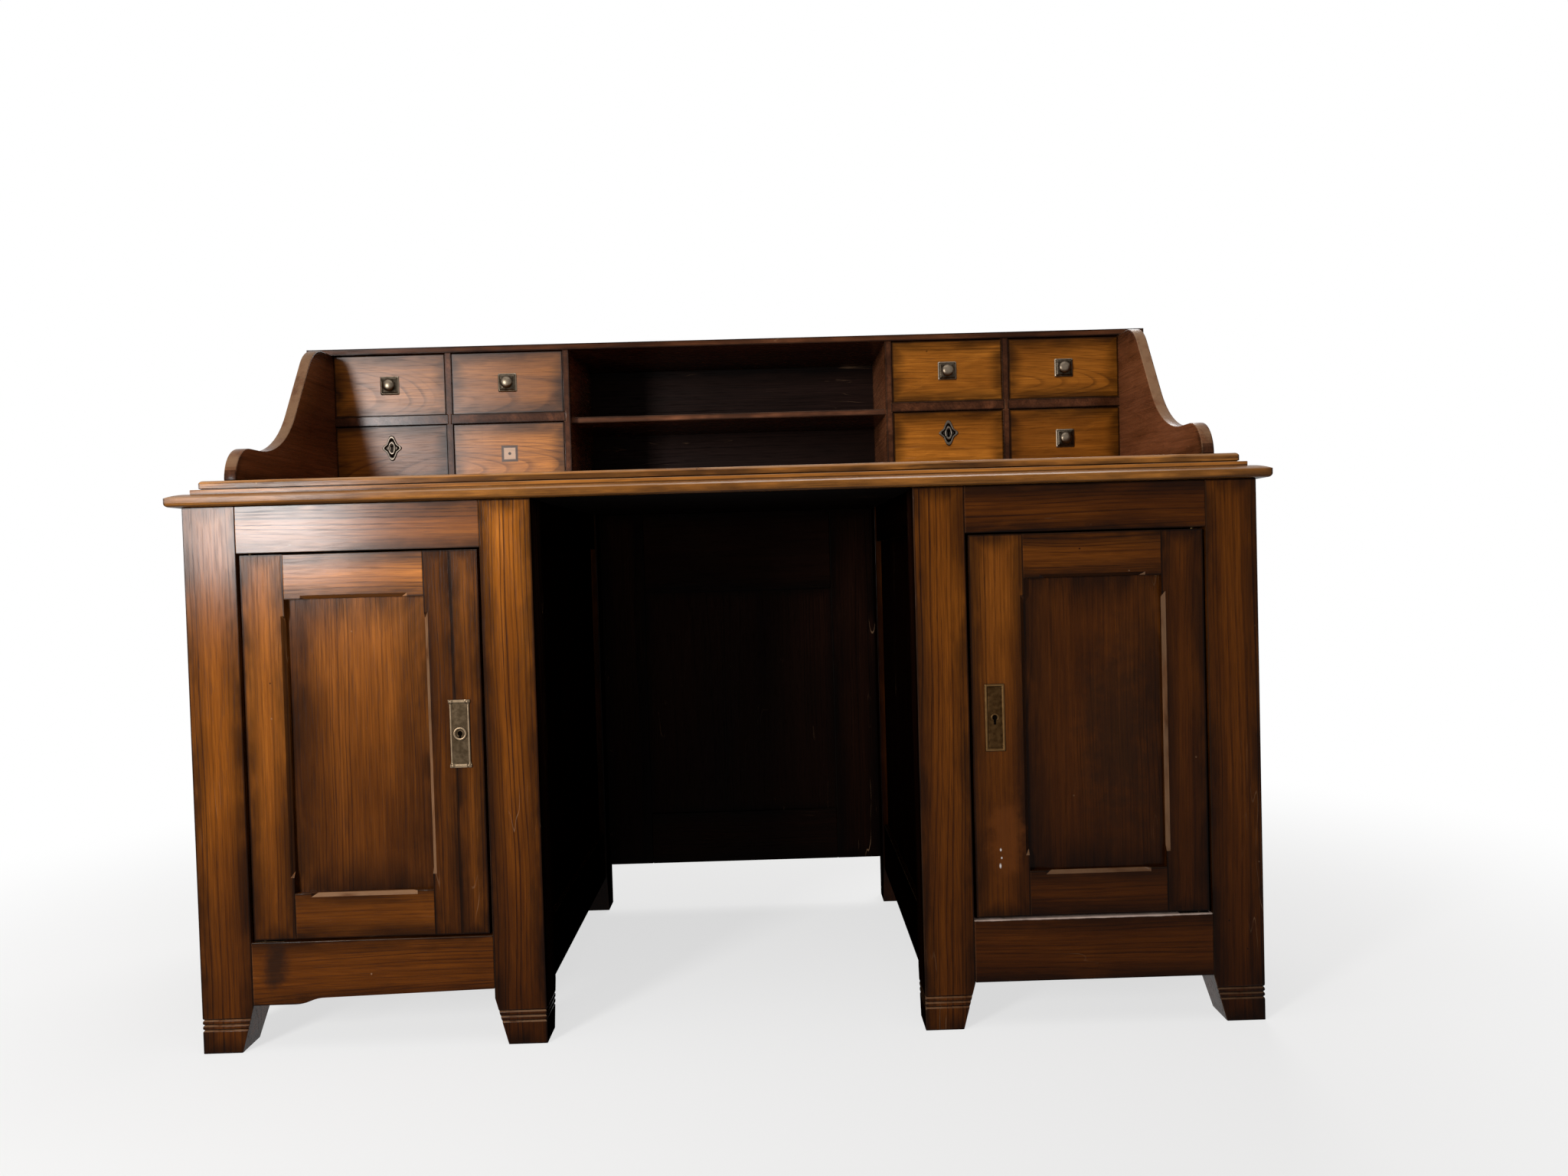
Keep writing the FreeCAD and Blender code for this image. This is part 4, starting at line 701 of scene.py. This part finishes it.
plate_outline = np.column_stack([np.interp(plate_steps, plate_run, way) for way in plate_corners.T])
eared_outline = plate_outline.copy()
eared_outline[:, 0] += np.sign(eared_outline[:, 0]) * PLATE_EAR * ramp(np.abs(eared_outline[:, 1]), *EAR_RISE)
for hand, outline, stand, finish in (("left", eared_outline, studded_plate, brass),
                                     ("right", plate_outline, framed_plate, browned_brass)):
    dressed(f"{hand}_door_pivots", brass, METAL_ARRIS)
    dressed(f"{hand}_lock_case", steel, METAL_ARRIS)
    dressed(f"{hand}_lock_bolt", steel, METAL_ARRIS)
    plate_node = f"{hand}_lock_plate"
    low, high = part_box(plate_node)
    place = ((low[0] + high[0]) / 2, high[1], (low[2] + high[2]) / 2)
    piece = relief_plate(f"{plate_node}_cast", outline, np.linspace(0, 1, PLATE_RINGS), stand, place, finish)
    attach(piece, f"{hand}_door")
    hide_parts(plate_node)

# Desk top: two boards of elm laid one on the other. The lower one lies on the pedestals and has a thumb and a
# fillet run along its front and ends; the upper one is planted on it with a round edge and a quirk below.
TOP_PALE = (0.47, 0.175, 0.028)
TOP_DARK = (0.060, 0.017, 0.004)
TOP_SHINE = 0.17
TOP_ARRIS = 0.0055
TOP_EASE = 0.0010
MOULDING_NOSE = 0.012
MOULDING_RUN = 0.024
MOULDING_CREST = 0.018
BOARD_NOSE = 0.0085
BOARD_RUN = 0.005
QUIRK_DEPTH = 0.0020
QUIRK_HEIGHT = 0.0016
QUIRK_EASE_IN, QUIRK_EASE_UP = 0.0004, 0.0006
# Painted crease shade with dust in the quirk and at the fillet's foot: its strength and reach.
QUIRK_SHADE_REACH = 0.0008
CREASE_DIRT_AND_SHADE = 0.85
CREASE_REACH = 0.0022
THUMB_STEPS = 25
EDGE_STEPS = 7


def thumb(nose, run, crest):
    """Points (distance in, height) of the arc that leaves the nose and comes level at the crest, a run further
    in; it has the radius (run squared + rise squared) / (2 rise)."""
    rise = crest - nose
    radius = (run * run + rise * rise) / (2 * rise)
    into = run * (1 - np.cos(np.linspace(0, math.pi / 2, THUMB_STEPS)))
    return np.column_stack([into, crest - radius + np.sqrt(radius ** 2 - (run - into) ** 2)])


def moulded_board(name, node, section, crease_shade, finish):
    """A board with a moulded front and ends. The section is a list of (distance in from the edge, height), carried
    along the path back-left, front-left, front-right, back-right, so the grid is corner(edge - inset, height);
    flat faces close its top, back and bottom. The bottom gets the kneehole's near-black finish, painted shade
    under the top. The argument after the section says how much dust and painted crease shade lies at each point
    of the section."""
    low, high = (np.array(corner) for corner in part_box(node))
    into, up = section.T
    left, right, front, back = low[0] + into, high[0] - into, low[1] + into, np.full_like(into, high[1])
    grid = np.stack([np.column_stack([left, back, low[2] + up]), np.column_stack([left, front, low[2] + up]),
                     np.column_stack([right, front, low[2] + up]), np.column_stack([right, back, low[2] + up])])
    count = len(section)
    ids = np.arange(4 * count).reshape(4, count)
    sides = np.stack([ids[:-1, :-1], ids[1:, :-1], ids[1:, 1:], ids[:-1, 1:]], axis=-1).reshape(-1, 4)
    faces = sides.tolist() + [ids[:, -1].tolist(), ids[0].tolist() + ids[3, ::-1].tolist(),
                              ids[::-1, 0].tolist()]
    mesh = bpy.data.meshes.new(name)
    mesh.from_pydata(grid.reshape(-1, 3).tolist(), [], faces)
    mark_boards(mesh, ((1.0, TOP_SHINE),))
    mesh.attributes.new("crease_dirt_and_shade", "FLOAT", "POINT").data.foreach_set(
        "value", np.tile(crease_shade, 4).astype(np.float32))
    mesh.shade_smooth()
    mesh.set_sharp_from_angle(angle=SMOOTH_EDGE)
    mesh.materials.append(finish)
    # The bottom face gets the near-black finish: painted shade under the top.
    mesh.materials.append(knee_shade_wood)
    mesh.polygons[-1].material_index = 1
    piece = placed(name, mesh)
    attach(piece, "carcass")
    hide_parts(node)


turn = np.linspace(0, math.pi / 2, EDGE_STEPS)
lower_edge = TOP_ARRIS * np.column_stack([1 - np.sin(turn), 1 - np.cos(turn)])
fillet_top = frame["nodes"]["top_moulding"].dimensions[2]
fillet_edge = (MOULDING_RUN, fillet_top) + TOP_EASE * np.column_stack([1 - np.cos(turn), np.sin(turn) - 1])
fillet_foot = [(MOULDING_RUN, MOULDING_CREST + CREASE_REACH * share) for share in (0.4, 1.0)]
moulding_section = np.concatenate([lower_edge, thumb(MOULDING_NOSE, MOULDING_RUN, MOULDING_CREST), fillet_foot,
                                   fillet_edge])
from_foot = np.hypot(*(moulding_section - (MOULDING_RUN, MOULDING_CREST)).T)
moulding_crease_shade = CREASE_DIRT_AND_SHADE * ramp(from_foot, CREASE_REACH, CREASE_REACH / 3)
board_top = frame["nodes"]["top_board"].dimensions[2]
quirk = [(QUIRK_DEPTH, 0.0), (QUIRK_DEPTH, QUIRK_HEIGHT * 0.7), (QUIRK_EASE_IN, QUIRK_HEIGHT),
         (0.0, QUIRK_HEIGHT + QUIRK_EASE_UP)]
board_section = np.concatenate([quirk, thumb(BOARD_NOSE, BOARD_RUN, board_top)])
board_crease_shade = CREASE_DIRT_AND_SHADE * ramp(board_section[:, 1], QUIRK_HEIGHT + QUIRK_SHADE_REACH, QUIRK_HEIGHT)
top_wood = stained_wood("top_wood", TOP_PALE, TOP_DARK, ring=0.0064, pith=0.16, lean=0.04, wear=0.9)
moulded_board("top_moulding_worked", "top_moulding", moulding_section, moulding_crease_shade, top_wood)
moulded_board("top_board_worked", "top_board", board_section, board_crease_shade, top_wood)

# Gallery: two ogee sides, a thin top that overhangs them, four uprights and the boards that carry the upper
# drawers, all housed into each other; the shelf divides the open middle. The back and base are plain boards,
# painted near-black as shade in the open middle.
GALLERY_ARRIS = 0.0014
EDGE_ARRIS = 0.0008
GALLERY_PALE = (0.21, 0.074, 0.030)
GALLERY_DARK = (0.050, 0.017, 0.008)
# Near-black back and base: painted shade in the open middle.
BACK_SHADE_PALE = (0.014, 0.006, 0.004)
BACK_SHADE_DARK = (0.005, 0.002, 0.0015)
GALLERY_STAINS = {"gallery_left_side": (0.55,), "gallery_right_side": (1.0,), "gallery_top": (1.0,)}
EDGE_STAINS = {"gallery_dividers": ((1.0, 0.20), (1.0, 0.20), 1.0, 1.0),
               "gallery_drawer_shelves": ((1.0, 0.25), (1.0, 0.20), 1.0, 1.0), "gallery_shelf": ((1.5, 0.15),)}
gallery_wood = stained_wood("gallery_wood", GALLERY_PALE, GALLERY_DARK, figure=0.5, wear=1.0)
gallery_back_shade_wood = stained_wood("gallery_back_shade_wood", BACK_SHADE_PALE, BACK_SHADE_DARK, polish=0.4, wear=0.3)
for gallery_node, gallery_stain in GALLERY_STAINS.items():
    dressed(gallery_node, gallery_wood, GALLERY_ARRIS, stain=gallery_stain)
for gallery_node, gallery_stain in EDGE_STAINS.items():
    dressed(gallery_node, gallery_wood, EDGE_ARRIS, stain=gallery_stain)
for gallery_node in ("gallery_back", "gallery_base"):
    dressed(gallery_node, gallery_back_shade_wood, EDGE_ARRIS)

# Gallery drawers: a lapped front of figured elm on a box of thin pale boards, with the bottom in grooves.
# One front has lost its knob, which has left a pale square with its screw hole.
DRAWER_ARRIS = 0.0009
FRONT_PALE = (0.35, 0.118, 0.013)
FRONT_DARK = (0.045, 0.012, 0.003)
BOX_PALE = (0.40, 0.25, 0.12)
BOX_DARK = (0.26, 0.15, 0.065)
DRAWER_STAINS = {("left", "upper", "outer"): (0.78, 0.40), ("left", "upper", "inner"): (0.74, 0.62),
                 ("left", "lower", "outer"): (0.80, 0.32), ("left", "lower", "inner"): (1.00, 0.55),
                 ("right", "upper", "inner"): (1.40, 0.02), ("right", "upper", "outer"): (0.88, 0.02),
                 ("right", "lower", "inner"): (1.06, 0.0), ("right", "lower", "outer"): (0.88, 0.02)}
GHOST_HALF = 0.0140
GHOST_LINE = 0.0046
GHOST_HOLE = 0.0022
GHOST_FRONT = (-0.006, -0.0075)
GHOST_PALE = (0.60, 0.43, 0.31)
GHOST_DARK = (0.030, 0.013, 0.006)


def knob_ghost(spot, colour):
    """The pale square that the lost knob's plate kept clean, dark along its outline, with the screw hole."""
    across = spot.parts()
    away = across.math("ABSOLUTE").math("MAXIMUM", across.other(1).math("ABSOLUTE"))
    front = across.other(2).between(*GHOST_FRONT)
    inside = away.between(GHOST_HALF, GHOST_HALF - GHOST_LINE) * front
    off_line = (away - GHOST_HALF + GHOST_LINE / 2).math("ABSOLUTE")
    outline = off_line.between(GHOST_LINE * 0.6, GHOST_LINE * 0.3) * front
    centre = (across * across + across.other(1) * across.other(1)).math("SQRT")
    hole = centre.between(GHOST_HOLE * 1.3, GHOST_HOLE) * front
    colour = colour.towards((*GHOST_PALE, 1), inside * 0.75).towards((*GHOST_DARK, 1), outline * 0.92)
    return colour.towards((*GHOST_DARK, 1), hole)


front_finish = {"pale": FRONT_PALE, "dark": FRONT_DARK, "ring": 0.0044, "pith": 0.025, "lean": 0.30,
                "figure": 0.6, "polish": 0.24, "wear": 0.12}
front_wood = stained_wood("drawer_front_wood", **front_finish)
bare_front_wood = stained_wood("bare_drawer_front_wood", marks=knob_ghost, **front_finish)
box_wood = stained_wood("drawer_box_wood", BOX_PALE, BOX_DARK, ring=0.0040, polish=0.6, wear=0.2)
for (hand, row, column), drawer_stain in DRAWER_STAINS.items():
    drawer_node = f"{hand}_{row}_{column}_drawer"
    mesh = eased_boards(f"{drawer_node}_worked", drawer_node, DRAWER_ARRIS)
    face_board, low = mark_boards(mesh, (drawer_stain,))[:2]
    bare = (hand, row, column) == ("left", "lower", "inner")
    mesh.materials.append(bare_front_wood if bare else front_wood)
    mesh.materials.append(box_wood)
    behind = face_board != np.argmin(low[:, 1])
    mesh.polygons.foreach_set("material_index", behind.astype(np.int32))
    piece = placed(mesh.name, mesh)
    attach(piece, frame["nodes"][drawer_node]["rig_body"])
    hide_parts(drawer_node)

# Knobs: cast brass, a stepped square plate with a short neck and a low domed head, held by a shank through
# the drawer front. Bronzed dark, rubbed bright where fingers take hold.
KNOB_PLATE = 0.0155
KNOB_STEP = 0.0120
KNOB_HEAD = 0.0100
KNOB_NECK = 0.0050
KNOB_SHANK = 0.0025
KNOB_SHANK_END = 0.0188
KNOB_BACK = 0.0190
KNOB_STAND = 0.0087
KNOB_RISE = 0.0043
KNOB_SIDES = 64
DOME_START = -0.9
DOME_STEPS = 15
KNOB_RUBBED = (0.32, 0.25, 0.18)
KNOB_DARK = (0.014, 0.010, 0.006)


def closed_rings(name, rings, middle):
    """A closed surface about an axis along y: ring j stands at depth[j] and has the radius
    size[j] * (square[j] / max(|cos a|, |sin a|) + 1 - square[j]) at the angle a, so that square 1 is a square
    and 0 a circle. Its first and last rings have no size and close it. Bright[j] is how far the ring is rubbed."""
    depth, size, square, bright = np.array(rings).T
    angle = np.linspace(0, 2 * math.pi, KNOB_SIDES, endpoint=False) + math.pi / KNOB_SIDES
    corner = 1 / np.maximum(np.abs(np.cos(angle)), np.abs(np.sin(angle)))
    radius = size[:, None] * (square[:, None] * corner + 1 - square[:, None])
    grid = np.stack([radius * np.cos(angle), np.broadcast_to(depth[:, None], radius.shape),
                     radius * np.sin(angle)], axis=-1) + np.array(middle)
    mesh = ring_mesh(name, grid, np.repeat(bright, len(angle)))[0]
    closed_up(mesh)
    return mesh


knob_head = [(-KNOB_STAND - KNOB_RISE * math.sin(turn), KNOB_HEAD * math.cos(turn), 0,
              0.10 + 0.34 * max(math.sin(turn), 0)) for turn in np.linspace(DOME_START, math.pi / 2, DOME_STEPS)]
knob_rings = [(KNOB_SHANK_END, 0, 0, 0), (KNOB_SHANK_END, KNOB_SHANK, 0, 0), (0, KNOB_SHANK, 0, 0),
              (0, KNOB_PLATE, 1, 0.15), (-0.0012, KNOB_PLATE, 1, 0.60), (-0.0022, KNOB_PLATE - 0.0012, 1, 0.60),
              (-0.0024, KNOB_PLATE - 0.0016, 1, 0), (-0.0024, KNOB_STEP + 0.0010, 1, 0),
              (-0.0034, KNOB_STEP, 0.97, 0.16), (-0.0040, KNOB_STEP - 0.0010, 0.93, 0),
              (-0.0042, KNOB_NECK + 0.0022, 0.2, 0), (-0.0050, KNOB_NECK, 0, 0)] + knob_head
knob_brass = aged_metal("knob_brass", KNOB_RUBBED, KNOB_DARK, 0.22, grain=160.0, relief=0.88)
for knob_node in ("left_upper_inner_knob", "left_upper_outer_knob", "right_upper_inner_knob",
                  "right_upper_outer_knob", "right_lower_outer_knob"):
    low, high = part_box(knob_node)
    place = ((low[0] + high[0]) / 2, high[1] - KNOB_BACK, (low[2] + high[2]) / 2)
    mesh = closed_rings(f"{knob_node}_cast", knob_rings, place)
    mesh.materials.append(knob_brass)
    piece = placed(mesh.name, mesh)
    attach(piece, frame["nodes"][knob_node]["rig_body"])
    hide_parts(knob_node)

# Drawer locks: steel cases and bolts behind two of the lower fronts, with lobed brass keyhole plates pinned on
# the outside.
LOBE_SIDE = 0.0155
LOBE_TALL = 0.0205
LOBE_WAIST = 0.60
LOBE_SHARPNESS = 1.4
LOBE_WAVE = 0.05
LOBE_FIELD = 0.0010
LOBE_STEPS = 192
LOBE_RINGS = 48
OVAL_SIDE, OVAL_TALL, OVAL_HALF = 0.0048, 0.0092, 0.28
KEYHOLE_RAISED = 0.0030
LOBE_RUBBED = (0.17, 0.14, 0.11)
LOBE_DARK = (0.012, 0.009, 0.007)


def lobed_reach(angle):
    """The lobed outline's distance from the middle: long at the top, bottom and sides, waisted between them."""
    lobe = np.abs(np.cos(2 * angle)) ** LOBE_SHARPNESS
    longest = LOBE_SIDE + (LOBE_TALL - LOBE_SIDE) * np.sin(angle) ** 2
    return longest * (LOBE_WAIST + (1 - LOBE_WAIST) * lobe + LOBE_WAVE * np.cos(8 * angle))


def lobed_plate(across, up):
    """How far a keyhole plate stands out: a thin field with a beaded edge and a groove inside it, and an oval rim
    about the keyhole. The share of the way out to the lobed edge is distance / lobed reach at that angle."""
    edge, groove, rim = 0.0009, 0.0004, 0.0012
    share = np.hypot(across, up) / lobed_reach(np.arctan2(up, across))
    oval = np.hypot(across / OVAL_SIDE, up / OVAL_TALL)
    out = LOBE_FIELD + edge * bead(share - 0.86, 0.14) - groove * bead(share - 0.64, 0.08)
    out += rim * bead(oval - 1.0, OVAL_HALF)
    hole = keyhole(across, up - KEYHOLE_RAISED, radius=0.0024, slot=0.0014, drop=0.0095)
    return np.where(hole, KEYHOLE_FLOOR, out)


lobe_bronze = aged_metal("lobe_bronze", LOBE_RUBBED, LOBE_DARK, 0.22, grain=160.0, relief=0.88)
lobe_angle = np.linspace(0, 2 * math.pi, LOBE_STEPS, endpoint=False)
lobe_outline = lobed_reach(lobe_angle)[:, None] * np.column_stack([np.cos(lobe_angle), np.sin(lobe_angle)])
for hand in ("left", "right"):
    lock_node = f"{hand}_drawer_lock"
    drawer_body = frame["nodes"][lock_node]["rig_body"]
    mesh = eased_boards(f"{lock_node}_case", lock_node, METAL_ARRIS)
    face_board, low, high = mark_boards(mesh)
    plate_board = np.argmin(low[:, 1])
    shape = bmesh.new()
    shape.from_mesh(mesh)
    shape.faces.ensure_lookup_table()
    bmesh.ops.delete(shape, geom=[shape.faces[index] for index in np.flatnonzero(face_board == plate_board)],
                     context="FACES")
    shape.to_mesh(mesh)
    shape.free()
    mesh.materials.append(steel)
    case = placed(mesh.name, mesh)
    place = ((low[plate_board] + high[plate_board]) / 2).tolist()
    place[1] = high[plate_board][1]
    plate = relief_plate(f"{lock_node}_plate", lobe_outline, np.linspace(0, 1, LOBE_RINGS), lobed_plate, place,
                         lobe_bronze)
    for piece in (case, plate):
        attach(piece, drawer_body)
        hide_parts(lock_node)
    dressed(f"{hand}_drawer_bolt", steel, METAL_ARRIS)

# Floor, light and camera: a plain pale studio floor, a window-like lamp at the left front, soft ones overhead and
# behind, and the camera where the photograph was taken.
FLOOR_TONE = (0.84, 0.83, 0.81, 1)
FLOOR_GLOW = 0.68
FLOOR_ROUGHNESS = 0.8
CAMERA_PLACE = Vector((0.06574, -1.89886, 0.65068))
YAW, PITCH, ROLL = 0.0098, -0.0251, -0.0284
FOCAL_PIXELS = 1520.7
PICTURE_WIDTH = 2048
SENSOR_WIDTH = 36
FLOOR_REACH = 30.0
FADE_START = 0.85
FADE_END = 2.0
ROOM_LIGHT = 0.09


def seen_background(start):
    """1 for a ray that shows the background: from the camera, from a gloss or through glass."""
    ray = start.node("ShaderNodeLightPath", {}, {}, output="Is Camera Ray")
    return ray.math("MAXIMUM", ray.other("Is Glossy Ray")).math("MAXIMUM", ray.other("Is Transmission Ray"))


floor_mesh = bpy.data.meshes.new("floor")
floor_mesh.from_pydata([(-FLOOR_REACH, -FLOOR_REACH, 0), (FLOOR_REACH, -FLOOR_REACH, 0),
                        (FLOOR_REACH, FLOOR_REACH, 0), (-FLOOR_REACH, FLOOR_REACH, 0)], [], [(0, 1, 2, 3)])
floor = placed("floor", floor_mesh)
floor_finish, floor_shader, start = new_material("floor_finish")
floor_shader.inputs["Base Color"].default_value = FLOOR_TONE
floor_shader.inputs["Roughness"].default_value = FLOOR_ROUGHNESS
away = start.place()
away = away.node("ShaderNodeVectorMath", {"operation": "LENGTH"}, {0: away}, output="Value")
seen = seen_background(start)
white = start.node("ShaderNodeEmission", {}, {"Color": (1, 1, 1, 1), "Strength": 1.0})
plain = Value(floor_finish.node_tree, floor_shader.outputs[0])
glow = away.between(FADE_START, FADE_END) * (1 - FLOOR_GLOW) + FLOOR_GLOW
faded = start.node("ShaderNodeMixShader", {}, {0: seen * glow, 1: plain, 2: white})
faded.feed(floor_finish.node_tree.nodes["Material Output"], "Surface")
floor_mesh.materials.append(floor_finish)

world = bpy.data.worlds.new("studio")
bpy.context.scene.world = world
world.use_nodes = True
background = world.node_tree.nodes["Background"]
background.inputs["Color"].default_value = (1, 1, 1, 1)
seen = seen_background(Value(world.node_tree))
(seen * (1 - ROOM_LIGHT) + ROOM_LIGHT).feed(background, "Strength")


def lamp(name, place, aim, size, power):
    """A rectangular lamp at a place that faces an aim."""
    data = bpy.data.lights.new(name, "AREA")
    data.shape = "RECTANGLE"
    data.size, data.size_y = size
    data.energy = power
    piece = placed(name, data)
    piece.location = place
    piece.rotation_euler = (Vector(aim) - Vector(place)).to_track_quat("-Z", "Y").to_euler()


lamp("window", place=(-1.49, -2.35, 1.03), aim=(-0.3, 0.0, 0.66), size=(0.44, 0.80), power=54)
lamp("ceiling", place=(-0.4, -1.0, 3.0), aim=(0.0, 0.0, 0.6), size=(2.6, 2.0), power=26)
lamp("rear", place=(0.7, 2.6, 2.9), aim=(0.0, 0.3, 0.5), size=(2.0, 1.6), power=60)

forward = Vector((math.sin(YAW) * math.cos(PITCH), math.cos(YAW) * math.cos(PITCH), math.sin(PITCH)))
level = Vector((math.cos(YAW), -math.sin(YAW), 0))
upright = level.cross(forward)
right = math.cos(ROLL) * level + math.sin(ROLL) * upright
up = math.cos(ROLL) * upright - math.sin(ROLL) * level
camera_data = bpy.data.cameras.new("camera")
camera_data.sensor_width = SENSOR_WIDTH
camera_data.lens = SENSOR_WIDTH * FOCAL_PIXELS / PICTURE_WIDTH
camera = placed("camera", camera_data)
turned = Matrix((right, up, -forward)).transposed().to_4x4()
camera.matrix_world = Matrix.Translation(CAMERA_PLACE) @ turned
bpy.context.scene.camera = camera
bpy.context.scene.view_settings.view_transform = "Standard"
